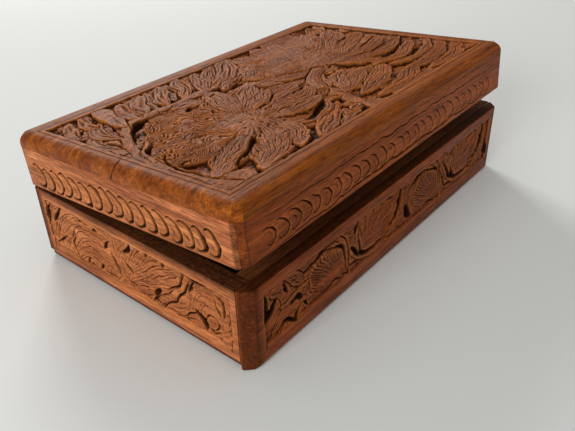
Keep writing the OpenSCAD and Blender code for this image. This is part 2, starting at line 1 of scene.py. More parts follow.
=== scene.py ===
# %% [markdown]
# # A carved wooden puzzle box
# The real box is two trays of hardwood boards joined by butt hinges, and almost every side of it
# is carved with foliage. The solids give its exact boards, slides, lock and hinges. This script
# dresses them: it keeps the small metal parts as they are, and replaces each carved board with
# one whose carving is really there, cut leaf by leaf into a fine grid.
# The solids come first, because every piece is measured against them.

# %% Load the frame
import math

import bmesh
import bpy
import numpy as np
from mathutils import Matrix, Vector


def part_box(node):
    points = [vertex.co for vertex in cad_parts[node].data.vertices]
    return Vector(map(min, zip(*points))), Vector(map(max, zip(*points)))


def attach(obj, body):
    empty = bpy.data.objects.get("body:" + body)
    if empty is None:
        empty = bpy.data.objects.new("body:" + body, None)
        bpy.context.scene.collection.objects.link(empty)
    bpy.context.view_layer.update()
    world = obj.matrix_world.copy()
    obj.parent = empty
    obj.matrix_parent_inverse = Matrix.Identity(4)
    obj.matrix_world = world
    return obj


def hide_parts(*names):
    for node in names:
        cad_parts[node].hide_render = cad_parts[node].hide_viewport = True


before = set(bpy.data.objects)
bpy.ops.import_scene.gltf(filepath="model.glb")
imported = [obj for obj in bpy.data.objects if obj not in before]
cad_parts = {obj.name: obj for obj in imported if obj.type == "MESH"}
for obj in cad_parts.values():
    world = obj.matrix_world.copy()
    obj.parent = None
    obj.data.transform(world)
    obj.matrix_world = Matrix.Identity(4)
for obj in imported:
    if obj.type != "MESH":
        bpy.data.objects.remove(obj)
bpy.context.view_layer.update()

# %% [markdown]
# ## Sizes
# Boards are thought of in millimetres, as a joiner would, and become metres only when a piece is
# finished. The few sizes that the pieces share are read from the solids where a solid gives them
# straight, and written once here where the leaning lid hides them.

# %% Sizes in millimetres
MM = 0.001
face_low, face_high = [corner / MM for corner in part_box("face_board")]
back_low, back_high = [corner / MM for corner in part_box("back_board")]
LEFT, RIGHT = face_low.x, face_high.x
FRONT, BACK = face_low.y, back_high.y
BASE_HEIGHT = face_high.z
LENGTH = RIGHT - LEFT
WIDTH = BACK - FRONT
FACE_THICK = face_high.y - face_low.y
WALL_THICK = back_high.y - back_low.y
LID_LEAN = -4.4
LID_GAP = 0.4
RAIL_HEIGHT = 17.6
TOP_THICK = 6.2
TOP_ROUNDING = 4.6
BASE_CORNER = 4.0
LID_CORNER = 3.2
HINGE_OFFSET = 0.3
HINGE_LINE = Vector((0, BACK + HINGE_OFFSET, BASE_HEIGHT + LID_GAP / 2))
LID_UNDER = BASE_HEIGHT + LID_GAP
RAIL_TOP = LID_UNDER + RAIL_HEIGHT
LID_TOP = RAIL_TOP + TOP_THICK
TOUCH = 0.01  # points closer than this count as touching
print(f"box {LENGTH:.1f} x {WIDTH:.1f} mm, base {BASE_HEIGHT:.1f} mm, closed lid top {LID_TOP:.1f} mm")

# %% [markdown]
# ## The camera
# The box was seen from above its nearest upright corner, close by, so perspective is strong. A
# place, a target and a small roll set the camera; the lens follows from how wide the view was.

# %% Camera
CAMERA_AZIMUTH = -50.32
CAMERA_ELEVATION = 32.66
CAMERA_ROLL = -1.54
CAMERA_DISTANCE = 267.0
CAMERA_TARGET = Vector((-44.8, -36.35, 30))
IMAGE_WIDTH = 575
FOCAL_PIXELS = 645.9
SENSOR_WIDTH = 36
CLIP_START = 0.01

azimuth, elevation = math.radians(CAMERA_AZIMUTH), math.radians(CAMERA_ELEVATION)
backward = Vector((
    math.sin(azimuth) * math.cos(elevation),
    -math.cos(azimuth) * math.cos(elevation),
    math.sin(elevation),
))
level_right = Vector((0, 0, 1)).cross(backward).normalized()
level_up = backward.cross(level_right)
roll = math.radians(CAMERA_ROLL)
camera_right = math.cos(roll) * level_right + math.sin(roll) * level_up
camera_up = -math.sin(roll) * level_right + math.cos(roll) * level_up
camera_data = bpy.data.cameras.new("camera")
camera_data.sensor_width = SENSOR_WIDTH
camera_data.lens = FOCAL_PIXELS / IMAGE_WIDTH * SENSOR_WIDTH
camera_data.clip_start = CLIP_START
camera = bpy.data.objects.new("camera", camera_data)
turn = Matrix((camera_right, camera_up, backward)).transposed().to_4x4()
camera.matrix_world = Matrix.Translation((CAMERA_TARGET + CAMERA_DISTANCE * backward) * MM) @ turn
bpy.context.scene.collection.objects.link(camera)
bpy.context.scene.camera = camera
print(f"camera lens {camera_data.lens:.1f} mm, {CAMERA_DISTANCE:.0f} mm from its target")

# %% [markdown]
# ## Tools for boards
# A carved board is a block with a shallow pocket in its show side, and the carving is a slab that
# fills the pocket. Keeping the two apart lets the block stay simple, with clean rounded arrises,
# while the slab alone carries the hundreds of thousands of small faces that carving needs.
# The block starts as a coarse grid of cells: its outer cells are the plain margin and one middle
# cell is the mouth of the pocket. Extruding the grid gives the thickness.
# Every show side has coordinates of its own, u along it, v up it and w out of it, and a matrix
# that stands them on the box.

# %% Where each show side lies
def side_matrix(origin, u, v):
    """A matrix from a side's own u, v, w to the box, where w points out of the wood."""
    u, v = Vector(u), Vector(v)
    turned = Matrix((u, v, u.cross(v))).transposed().to_4x4()
    return Matrix.Translation(origin) @ turned


UP = (0, 0, 1)
SIDES = {
    "front": (Vector((LEFT, FRONT, 0)), (1, 0, 0), UP),
    "left": (Vector((LEFT, BACK, 0)), (0, -1, 0), UP),
    "back": (Vector((RIGHT, BACK, 0)), (-1, 0, 0), UP),
    "right": (Vector((RIGHT, FRONT, 0)), (0, 1, 0), UP),
    "top": (Vector((LEFT, FRONT, 0)), (1, 0, 0), (0, 1, 0)),
}


def on_side(side, height=0.0):
    """The matrix of one side of the box, raised by a height."""
    origin, u, v = SIDES[side]
    return side_matrix(origin + Vector((0, 0, height)), u, v)


lean_lid = (Matrix.Translation(HINGE_LINE) @ Matrix.Rotation(math.radians(LID_LEAN), 4, "X")
            @ Matrix.Translation(-HINGE_LINE))

# %% Blocks, cuts and arrises
def everything(bm):
    return bm.verts[:] + bm.edges[:] + bm.faces[:]


def board_block(u_lines, v_lines, thick, low, high, pocket, missing=lambda u, v: False):
    """A board in its side's coordinates, sunk between its field's low and high corners."""
    bm = bmesh.new()
    columns, rows = len(u_lines) - 1, len(v_lines) - 1
    bmesh.ops.create_grid(bm, x_segments=columns, y_segments=rows, size=1)
    for vert in bm.verts:
        vert.co.x = u_lines[round((vert.co.x + 1) / 2 * columns)]
        vert.co.y = v_lines[round((vert.co.y + 1) / 2 * rows)]
    gone = [face for face in bm.faces if missing(*face.calc_center_median().xy)]
    bmesh.ops.delete(bm, geom=gone, context="FACES")
    skin = bmesh.ops.extrude_face_region(bm, geom=bm.faces[:], use_keep_orig=True)
    lower = [g for g in skin["geom"] if isinstance(g, bmesh.types.BMVert)]
    bmesh.ops.translate(bm, verts=lower, vec=(0, 0, -thick))
    bmesh.ops.recalc_face_normals(bm, faces=bm.faces[:])
    middle = Vector(((low[0] + high[0]) / 2, (low[1] + high[1]) / 2, 0))
    mouth = min(bm.faces, key=lambda f: (f.calc_center_median() - middle).length)
    sunk = bmesh.ops.extrude_face_region(bm, geom=[mouth])
    floor = [g for g in sunk["geom"] if isinstance(g, bmesh.types.BMVert)]
    bmesh.ops.translate(bm, verts=floor, vec=(0, 0, -pocket))
    if mouth.is_valid:
        bmesh.ops.delete(bm, geom=[mouth], context="FACES_ONLY")
    bmesh.ops.recalc_face_normals(bm, faces=bm.faces[:])
    return bm


def dirt_and_shade_layer(bm):
    return bm.verts.layers.float.get("dirt_and_shade") or bm.verts.layers.float.new("dirt_and_shade")


def darken_points(bm, amount, stained):
    """Marks the points that a test picks as darker, for the finish: a real stain at the corners, grimy
    wood with painted shade along the rims.
    """
    layer = dirt_and_shade_layer(bm)
    for vert in bm.verts:
        if stained(vert.co):
            vert[layer] = amount


def slice_off(bm, point, outwards):
    """Saws away what lies beyond a plane and closes the cut."""
    cut = bmesh.ops.bisect_plane(bm, geom=everything(bm), plane_co=point, plane_no=outwards,
                                 clear_outer=True, dist=1e-5)
    rim = [g for g in cut["geom_cut"] if isinstance(g, bmesh.types.BMEdge)]
    bmesh.ops.holes_fill(bm, edges=rim, sides=0)


def cut_corners(bm, size):
    """Takes the upright corners of the box off whatever board reaches into them."""
    for x, y in [(LEFT, FRONT), (RIGHT, FRONT), (RIGHT, BACK), (LEFT, BACK)]:
        outwards = Vector((math.copysign(1, x), math.copysign(1, y), 0))
        point = Vector((x - math.copysign(size, x), y, 0))
        slice_off(bm, point, outwards)


BESIDE_CUT = 0.6


def on_corner_cut(co, size):
    """Whether a point lies on a facet across an upright corner, or just beside one."""
    return abs(co.x) + abs(co.y) > RIGHT + BACK - size - BESIDE_CUT


def ease_arrises(bm, width, wanted=lambda edge: True, segments=3, steepest=25):
    """Rounds the sharp edges that a test picks, as sandpaper does."""
    sharp = [e for e in bm.edges if len(e.link_faces) == 2 and wanted(e)
             and math.degrees(e.calc_face_angle(0)) > steepest]
    bmesh.ops.bevel(bm, geom=sharp, offset=width, offset_type="OFFSET", segments=segments,
                    profile=0.5, affect="EDGES", material=-1, clamp_overlap=True)

# %% [markdown]
# ## Tools for carving
# A carver works from the highest form to the lowest ground. A height grid works the other way
# round: each new leaf is laid over what is there, and a narrow ditch is cut round it so that it
# stands free. Doing it in plain arithmetic on a grid, and not with boolean solids, keeps every
# gouge mark and costs only seconds.
# A leaf is told by a few points of its middle line, its width and its heights. Across it, the
# position q runs from -1 at its right edge to 1 at its left edge, and a gouge ploughs a row of
# hollows along lines of equal q, so that they fan out from the root as real veins do.

# %% Smooth noise and smooth lines
def smooth_noise(x, y, size, seed):
    """Random heights on a coarse lattice, blended smoothly, from about -1 to 1."""
    u, v = x / size, y / size
    column, row = np.floor(u).astype(int), np.floor(v).astype(int)
    across, up = u - column, v - row
    across, up = across * across * (3 - 2 * across), up * up * (3 - 2 * up)
    lattice = np.random.default_rng(seed).uniform(-1, 1, (64, 64))

    def at(i, j):
        return lattice[(column + i) % 64, (row + j) % 64]

    low = at(0, 0) * (1 - across) + at(1, 0) * across
    high = at(0, 1) * (1 - across) + at(1, 1) * across
    return low * (1 - up) + high * up


def smooth_line(points, count=60):
    """A smooth line through a few points, as a bent ruler gives."""
    p = np.array(points, float)
    if len(p) == 2:
        p = np.array([p[0], (p[0] + p[1]) / 2, p[1]])
    p = np.vstack([2 * p[0] - p[1], p, 2 * p[-1] - p[-2]])
    spans = len(p) - 3
    parts = []
    for i in range(spans):
        t = np.linspace(0, 1, max(2, count // spans), endpoint=i == spans - 1)[:, None]
        a, b, c, d = p[i:i + 4]
        parts.append(b + 0.5 * t * ((c - a) + t * ((2 * a - 5 * b + 4 * c - d)
                                                   + t * (3 * b - a - 3 * c + d))))
    return np.vstack(parts)

# %% The blank, and finding a place on it
def blank(width, height, step, left=0.0, foot=0.0):
    """A grid of heights for a piece of board, in millimetres from the board's own corner. Its
    second pair of coordinates wavers a little, so that what is drawn with it looks cut by hand."""
    u = np.linspace(left, left + width, round(width / step) + 1)
    v = np.linspace(foot, foot + height, round(height / step) + 1)
    u, v = np.meshgrid(u, v)
    waver = [0.75 * smooth_noise(u, v, 6.0, seed) + 0.28 * smooth_noise(u, v, 2.1, seed + 1)
             for seed in (61, 71)]
    return {"u": u, "v": v, "hand_u": u + waver[0], "hand_v": v + waver[1],
            "z": np.zeros_like(u), "soot_and_shade": np.zeros_like(u), "step": step}


def beside(panel, line, reach):
    """For the grid near a line: the window, how far along it (0 to 1) and how far to its left."""
    u, v = panel["u"], panel["v"]
    low, high = line.min(0) - reach - 1, line.max(0) + reach + 1
    columns = np.where((u[0] >= low[0]) & (u[0] <= high[0]))[0]
    rows = np.where((v[:, 0] >= low[1]) & (v[:, 0] <= high[1]))[0]
    if len(columns) == 0 or len(rows) == 0:
        return None
    window = (slice(rows[0], rows[-1] + 1), slice(columns[0], columns[-1] + 1))
    u, v = panel["hand_u"][window], panel["hand_v"][window]
    steps = np.diff(line, axis=0)
    lengths = np.hypot(*steps.T)
    total = lengths.sum()
    nearest = np.full(u.shape, 1e9)
    share, side = np.zeros(u.shape), np.zeros(u.shape)
    gone = 0.0
    for (au, av), (su, sv), length in zip(line[:-1], steps, lengths):
        ru, rv = u - au, v - av
        t = np.clip((ru * su + rv * sv) / length ** 2, 0, 1)
        distance = np.hypot(ru - t * su, rv - t * sv)
        closer = distance < nearest
        nearest = np.where(closer, distance, nearest)
        share = np.where(closer, (gone + t * length) / total, share)
        side = np.where(closer, np.sign(su * rv - sv * ru), side)
        gone += length
    return window, share, nearest * side


def lay(panel, window, outside, top, ditch, moat):
    """Lays a form over the wood: its top inside its outline, a ditch just outside it."""
    z = panel["z"][window]
    around = np.where(outside < moat, np.minimum(z, ditch), z)
    inside = np.clip(0.5 - outside / panel["step"], 0, 1)
    panel["z"][window] = top * inside + around * (1 - inside)
    panel["soot_and_shade"][window] *= 1 - inside

# %% Leaves
def leaf(panel, points, width, level=(-1.0, -1.0), belly=0.55, blunt=1.0, flutes=7, gouge=0.6,
         tilt=0.0, crown=0.0, curl=0.0, rib=0.0, teeth=0, tooth=0.15, cut=1.2, moat=0.6,
         free=0.0, wave=0.15, seed=0):
    """Carves a leaf from its root to its tip. free is the share of its length after which it
    stands clear of the leaf that it grows from."""
    found = beside(panel, smooth_line(points), width / 2 + moat + 1)
    if found is None:
        return
    window, t, off = found
    inner = np.clip(t, 1e-4, 1 - 1e-4)
    outline = ((inner / belly) ** belly * ((1 - inner) / (1 - belly)) ** (1 - belly)) ** blunt
    half = width / 2 * outline
    if teeth:
        half = half * (1 - tooth * ((t * teeth + 0.3 * np.sign(off)) % 1.0) ** 1.5)
    half = np.maximum(half, 1e-3)
    q = np.clip(off / half, -1, 1)
    outside = np.abs(off) - half
    top = level[0] + (level[1] - level[0]) * t + outline * (tilt * q + crown * (1 - q ** 2))
    top = top + curl * 6 * np.clip(np.abs(q) - 0.6, 0, 1) ** 2
    if flutes:
        top = top - flute_depth(t, q, half, flutes, gouge, wave, seed, panel["step"])
    top = top - rib * np.exp(-(off / 0.45) ** 2)
    clear = np.clip((t - free + 0.12) / 0.24, 0, 1) if free else np.ones_like(t)
    ditch = top - cut * clear + outside * (cut / moat)
    if free:
        z = panel["z"][window]
        rooted = np.clip((t - 0.02) / 0.2, 0, 1)
        top = z * (1 - rooted) + top * rooted
        ditch = np.where(clear > 0.02, ditch, z)
    lay(panel, window, outside, top, ditch, moat)


def leaf_group(panel, leaves, first_seed, **shared):
    """Carves leaves in turn, each over the one before: points, width, level and its own marks."""
    for seed, (points, width, level, marks) in enumerate(leaves, first_seed):
        leaf(panel, points, width, level, seed=seed, **shared, **marks)


def flute_depth(t, q, half, flutes, gouge, wave, seed, step):
    """Hollows side by side along a leaf, no two alike, that fade where they grow too narrow."""
    wander = wave * (np.sin(t * 7 + seed) + np.sin(t * 13 + 2 * seed))
    phase = (q + 1) / 2 * flutes + wander
    number = np.clip(np.floor(phase).astype(int) + 1, 0, flutes + 3)
    strength = np.random.default_rng(seed + 11).uniform(0.45, 1.2, flutes + 4)[number]
    room = 2 * half / flutes
    fading = 0.6 + 0.4 * np.sin(t * 9 + number * 2.4 + seed)
    depth = np.minimum(gouge * strength, 0.42 * room) * np.clip(room / step / 2 - 0.5, 0, 1)
    return depth * fading * engraved(phase - np.floor(phase))


def engraved(part):
    """The section of a veiner's cut, from one ridge to the next: a sharp V in a soft hollow."""
    across = np.abs(2 * part - 1)
    return 1.15 * np.clip(1 - 1.7 * across, 0, 1) + 0.25 * (1 - across ** 2)

# %% An open leaf
def fan(panel, heart, rim, level=(-0.7, -1.2), flutes=40, pitch=1.35, gouge=0.6, crease=0.8, lap=0.35,
        roll=0.3, swirl=0.0, wave=0.5, cut=1.4, moat=0.7, seed=0):
    """Carves a wide leaf whose flutes run out from its heart. rim goes round it anticlockwise as
    (degrees, radius) pairs, a notch and a lobe's tip by turns; a lobe overlaps the one before."""
    u, v = panel["hand_u"] - heart[0], panel["hand_v"] - heart[1]
    radius = np.hypot(u, v)
    rim = np.array(rim, float)
    first = rim[0, 0]
    angle = (np.degrees(np.arctan2(v, u)) + swirl * radius - first) % 360 + first
    piece = np.clip(np.searchsorted(rim[:, 0], angle, side="right") - 1, 0, len(rim) - 2)
    share = (angle - rim[piece, 0]) / (rim[piece + 1, 0] - rim[piece, 0])
    rising = piece % 2 == 0
    from_notch = np.clip(np.where(rising, share, 1 - share), 0, 1)
    notch = np.where(rising, rim[piece, 1], rim[piece + 1, 1])
    tip = np.where(rising, rim[piece + 1, 1], rim[piece, 1])
    reach = notch + (tip - notch) * from_notch ** 0.6
    out = np.clip(radius / reach, 0, 1.2)
    top = level[0] + (level[1] - level[0]) * out
    top = top + roll * smooth_noise(panel["u"], panel["v"], 13, seed) * np.minimum(radius / 10, 1)
    top = top - crease * out ** 2 * np.exp(-from_notch * reach / 9)
    top = top + lap * out ** 2 * (1 - from_notch) * np.where(rising, 1, -1)
    top = top - branching_flutes(panel, angle, radius, flutes, pitch, gouge, wave, seed)
    outside = np.where(angle > rim[-1, 0], 9.0, (radius - reach) * 0.9)
    lay(panel, (slice(None), slice(None)), outside, top, top - cut + outside * (cut / moat), moat)


def branching_flutes(panel, angle, radius, flutes, pitch, gouge, wave, seed):
    """Hollows that run outwards and split in two wherever they would grow too wide."""
    room = 2 * math.pi * radius / flutes
    splits = np.clip(np.log2(np.maximum(room / pitch, 1e-3)), 0, 6)
    times = np.floor(splits)
    blend = np.clip((splits - times - 0.6) / 0.4, 0, 1)
    turn = angle / 360 * flutes + wave * smooth_noise(panel["u"], panel["v"], 8, seed + 3)
    turn = turn + 0.25 * wave * smooth_noise(panel["u"], panel["v"], 3, seed + 5)
    strength = np.random.default_rng(seed).uniform(0.7, 1.15, 97)
    depth = 0
    for more, weight in ((0, 1 - blend), (1, blend)):
        phase = turn * 2 ** (times + more)
        part = phase - np.floor(phase)
        depth = depth + weight * strength[np.floor(phase).astype(int) % 97] * engraved(part)
    fading = 0.85 + 0.35 * smooth_noise(panel["u"], panel["v"], 5.0, seed + 7)
    return gouge * depth * fading * np.clip(room / pitch - 0.8, 0, 1)

# %% Stems, mounds, slits and punch marks
def stem(panel, points, width, level=(-0.8, -0.8), crown=0.5, cut=1.2, moat=0.6, taper=(1.0, 1.0),
         grooves=0):
    """Carves a rounded stem along a line, with long gouge strokes on it."""
    found = beside(panel, smooth_line(points), width + moat + 1)
    if found is None:
        return
    window, t, off = found
    half = width / 2 * (taper[0] + (taper[1] - taper[0]) * t)
    q = np.clip(off / half, -1, 1)
    outside = np.abs(off) - half
    top = level[0] + (level[1] - level[0]) * t - crown * q ** 2
    if grooves:
        part = (q + 1) / 2 * grooves % 1.0
        top = top - 0.16 * (1 - (2 * part - 1) ** 2)
    lay(panel, window, outside, top, top - cut + outside * (cut / moat), moat)


def mound(panel, centre, reach, level, drop=0.3, cut=1.2, moat=1.0):
    """Carves a low round boss."""
    across, up = (panel["u"] - centre[0]) / reach[0], (panel["v"] - centre[1]) / reach[1]
    far = np.hypot(across, up)
    outside = (far - 1) * min(reach)
    ditch = level - drop - cut + outside * (cut / moat)
    lay(panel, (slice(None), slice(None)), outside, level - drop * np.minimum(far, 1.2) ** 2,
        ditch, moat)


def slit(panel, points, width, depth, peak=0.5, slope=0.0, reach=3.0):
    """A pointed V cut along a line, widest at its peak, and painted black inside, as grimy wood and as
    painted shade. With a slope, the wood on its right side also sinks towards it, so that the left side
    seems to lie on top."""
    found = beside(panel, smooth_line(points), max(width, reach))
    if found is None:
        return
    window, t, off = found
    t = np.clip(t, 0, 1)
    swell = np.where(t < peak, t / peak, (1 - t) / (1 - peak)) ** 0.5
    cut = depth * swell * np.clip(2.4 - 2.4 * np.abs(off) / (width / 2 * swell + 1e-3), 0, 1)
    sunk = slope * swell * np.where(off < 0, np.clip(1 + off / reach, 0, 1) ** 2, 0)
    panel["z"][window] -= np.maximum(cut, sunk)
    # The inside of the cut is marked black for the finish, as grime and as painted shade of the deep
    # slit.
    within = np.clip((width / 2 * swell - np.abs(off)) / 0.6 + 0.4, 0, 1) * min(0.92, depth / 2.0)
    panel["soot_and_shade"][window] = np.maximum(panel["soot_and_shade"][window], within * np.clip(swell * 3, 0, 1))


def slit_group(panel, cuts, narrower=1.0, slope=0.0):
    """Cuts slits in turn: points, width and depth."""
    for points, width, depth in cuts:
        slit(panel, points, narrower * width, depth, slope=slope)


def punch(panel, places, radius=0.7, depth=0.7):
    """Small hollows from a round punch."""
    for u, v in places:
        far = np.hypot(panel["u"] - u, panel["v"] - v) / radius
        panel["z"] -= depth * np.clip(1 - far ** 2, 0, 1)


def rough_ground(panel, level, amount=0.3):
    """Ground as short gouge chips leave it."""
    u, v = panel["u"], panel["v"]
    panel["z"][:] = level + amount * smooth_noise(u, v, 2.3, 1) + amount / 2 * smooth_noise(u, v, 0.9, 2)


def tool_marks(panel, amount=0.13):
    """The small unevenness that a knife leaves on every surface."""
    u, v = panel["u"], panel["v"]
    panel["z"] += amount * (smooth_noise(u, v, 1.5, 21) + 0.7 * smooth_noise(u, v, 0.75, 22))


def billow(panel, amount, size, seed):
    """Lets the carved surface rise and sink gently, as leaves lie over one another."""
    panel["z"] -= amount * (0.5 + 0.5 * smooth_noise(panel["u"], panel["v"], size, seed))


def close_field(panel, low, high, lip=0.3, fade=0.0, groove=0.0, run_out=0.0):
    """Keeps the carving inside its field and wears the edge of the wood around it. With a fade,
    the foot of the field has no edge; with a groove, a fine line is scored that far outside;
    with a run-out, the carving grows shallower over that distance to the edge."""
    u, v = panel["u"], panel["v"]
    waver = 0.35 * smooth_noise(u, v, 4.0, 9)
    above_foot = v - low[1]
    if fade:
        panel["z"] = panel["z"] * np.clip(above_foot / fade, 0, 1)
        above_foot = 99.0 + 0 * v
    inside = np.minimum.reduce([u - low[0], high[0] - u, above_foot, high[1] - v]) + waver
    carved = np.minimum(panel["z"], -0.15) if not fade else panel["z"]
    if run_out:
        carved = carved * np.clip(0.4 + 0.6 * inside / run_out, 0, 1)
    broken = smooth_noise(u, v, 7.0, 4) > -0.2
    bruised = -0.7 * np.clip(1 - np.abs(inside - 0.5) / 0.5, 0, 1) * broken
    carved = np.minimum(carved, bruised)
    worn = -lip * np.clip((inside + 0.8) / 0.8, 0, 1) ** 2
    if groove:
        worn = worn - 0.3 * np.exp(-((inside + groove) / 0.25) ** 2)
    panel["z"] = np.where(inside > 0, carved, worn)

# %% [markdown]
# ## The foliage on the lid
# A stem rises from a plain foot in the near corner and bends round one big open leaf, whose lobes
# curl over each other like a hand. A second stem crosses the middle and ends in another such leaf.
# Small leaves fill what is left, and under them all lies a seeded scatter of leaf tips, so that
# few gaps show bare ground. The lobes of a big leaf share one heart and only stand free near
# their tips, which is what makes it read as one leaf.

# %% Undergrowth
def undergrowth(panel, count, low, high, seed, lengths=(7, 15), widths=(3.5, 6.5)):
    """Small leaves at random places and low heights, the same ones every time."""
    pick = np.random.default_rng(seed)
    for i in range(count):
        u, v = pick.uniform(low[0], high[0]), pick.uniform(low[1], high[1])
        heading, length, bend = pick.uniform(-0.4, 1.6), pick.uniform(*lengths), pick.uniform(-2, 2)
        along = np.array([math.cos(heading), math.sin(heading)])
        across = np.array([-math.sin(heading), math.cos(heading)])
        root = np.array([u, v])
        leaf(panel, [root, root + length / 2 * along + bend * across, root + length * along],
             pick.uniform(*widths), (pick.uniform(-2.1, -1.5), pick.uniform(-2.0, -1.3)),
             flutes=int(pick.integers(2, 4)), gouge=0.4, cut=0.9, moat=0.8,
             tilt=pick.uniform(-0.4, 0.4), seed=100 + i)

# %% The leaf at the far end of the lid
def far_leaf(panel):
    fan(panel, (134, 62), [(-62, 18), (-48, 27), (-36, 30), (-22, 56), (-16, 46), (-5, 55), (1, 46),
                          (9, 56), (14, 46), (24, 60), (28, 50), (35, 60), (40, 54), (45, 74),
                          (50, 60), (59, 64), (68, 46), (76, 54), (84, 42), (97, 53), (105, 42),
                          (116, 55), (124, 38), (137, 44), (147, 34), (158, 44), (172, 18)],
        level=(-1.0, -0.8), flutes=36, gouge=0.34, lap=0.45, crease=0.6, roll=0.6, swirl=-0.25,
        wave=1.1, cut=1.0, seed=31)
    folds = [
        ([(150, 70), (164, 80), (184, 91)], 11, (-0.9, -0.3), dict(flutes=7, tilt=-0.4)),
        ([(150, 66), (168, 74), (189, 80)], 10, (-0.9, -0.9), dict(flutes=6)),
        ([(148, 60), (168, 59), (187, 66)], 9, (-0.8, -0.5), dict(flutes=6, tilt=-0.3)),
        ([(146, 54), (166, 50), (187, 54)], 9, (-0.9, -0.8), dict(flutes=5, tilt=-0.4)),
        ([(140, 46), (162, 38), (186, 45)], 8, (-0.8, -0.6), dict(flutes=5, tilt=-0.4)),
        ([(132, 76), (141, 92), (148, 112)], 12, (-0.9, -0.7), dict(flutes=8, tilt=-0.3)),
    ]
    leaf_group(panel, folds, 31, free=0.45, blunt=1.3, cut=0.6, gouge=0.42)

# %% The small leaves of the lid
def small_leaves(panel):
    leaves = [
        ([(146, 34), (168, 29), (190, 37)], 6, (-0.8, -0.9), dict(flutes=4, tilt=-0.2)),
        ([(104, 32), (120, 37), (138, 44)], 11, (-1.4, -1.1), dict(flutes=7, teeth=5)),
        ([(106, 24), (124, 27), (146, 36)], 11, (-1.4, -1.0), dict(flutes=7, teeth=5)),
        ([(108, 16), (130, 16), (154, 25)], 10, (-1.4, -1.1), dict(flutes=6, teeth=5)),
        ([(112, 11), (132, 10), (150, 14)], 7, (-1.5, -1.3), dict(flutes=5, teeth=5)),
        ([(144, 24), (164, 22), (190, 28)], 9, (-1.2, -0.9), dict(flutes=6, teeth=6)),
        ([(150, 16), (168, 14), (191, 20)], 8, (-1.4, -1.1), dict(flutes=5, teeth=5)),
        ([(128, 60), (112, 66), (93, 77)], 10, (-0.9, -0.9), dict(flutes=7, tilt=0.4)),
        ([(130, 52), (118, 44), (110, 34)], 9, (-1.3, -1.2), dict(flutes=6, teeth=4)),
        ([(108, 62), (112, 52), (110, 42)], 8, (-1.5, -1.3), dict(flutes=5)),
        ([(100, 88), (104, 99), (112, 106)], 8, (-1.4, -1.2), dict(flutes=5)),
    ]
    leaf_group(panel, leaves, 51, blunt=1.3, cut=0.7, gouge=0.42)
    stem(panel, [(98, 9), (100, 24), (104, 40), (112, 54), (126, 62)], 7, (-1.1, -1.0), grooves=4,
         taper=(0.8, 1))
    leaf(panel, [(100, 58), (98, 65), (96, 73)], 6, (-0.9, -0.7), flutes=0, rib=0.2, belly=0.5)
    sprays = [
        ([(80, 90), (98, 99), (115, 116)], 15, (-1.0, -0.2),
         dict(flutes=8, rib=0.3, belly=0.5, tilt=0.2)),
        ([(76, 90), (84, 100), (92, 115)], 9, (-1.3, -1.0), dict(flutes=5, tilt=0.3)),
        ([(66, 92), (74, 102), (80, 116)], 10, (-1.1, -0.4), dict(flutes=5, teeth=4, tilt=-0.3)),
        ([(56, 93), (60, 103), (69, 115)], 9, (-1.0, -0.3), dict(flutes=4, tilt=-0.3)),
        ([(50, 93), (52, 102), (60, 114)], 6, (-1.2, -0.6), dict(flutes=3)),
        ([(98, 84), (106, 90), (110, 100)], 8, (-1.2, -0.9), dict(flutes=5)),
        ([(88, 98), (94, 106), (104, 116)], 8, (-1.3, -1.2), dict(flutes=5)),
        ([(82, 84), (90, 88), (100, 90)], 7, (-1.1, -0.9), dict(flutes=4)),
    ]
    leaf_group(panel, sprays, 71, blunt=1.3, cut=0.8)

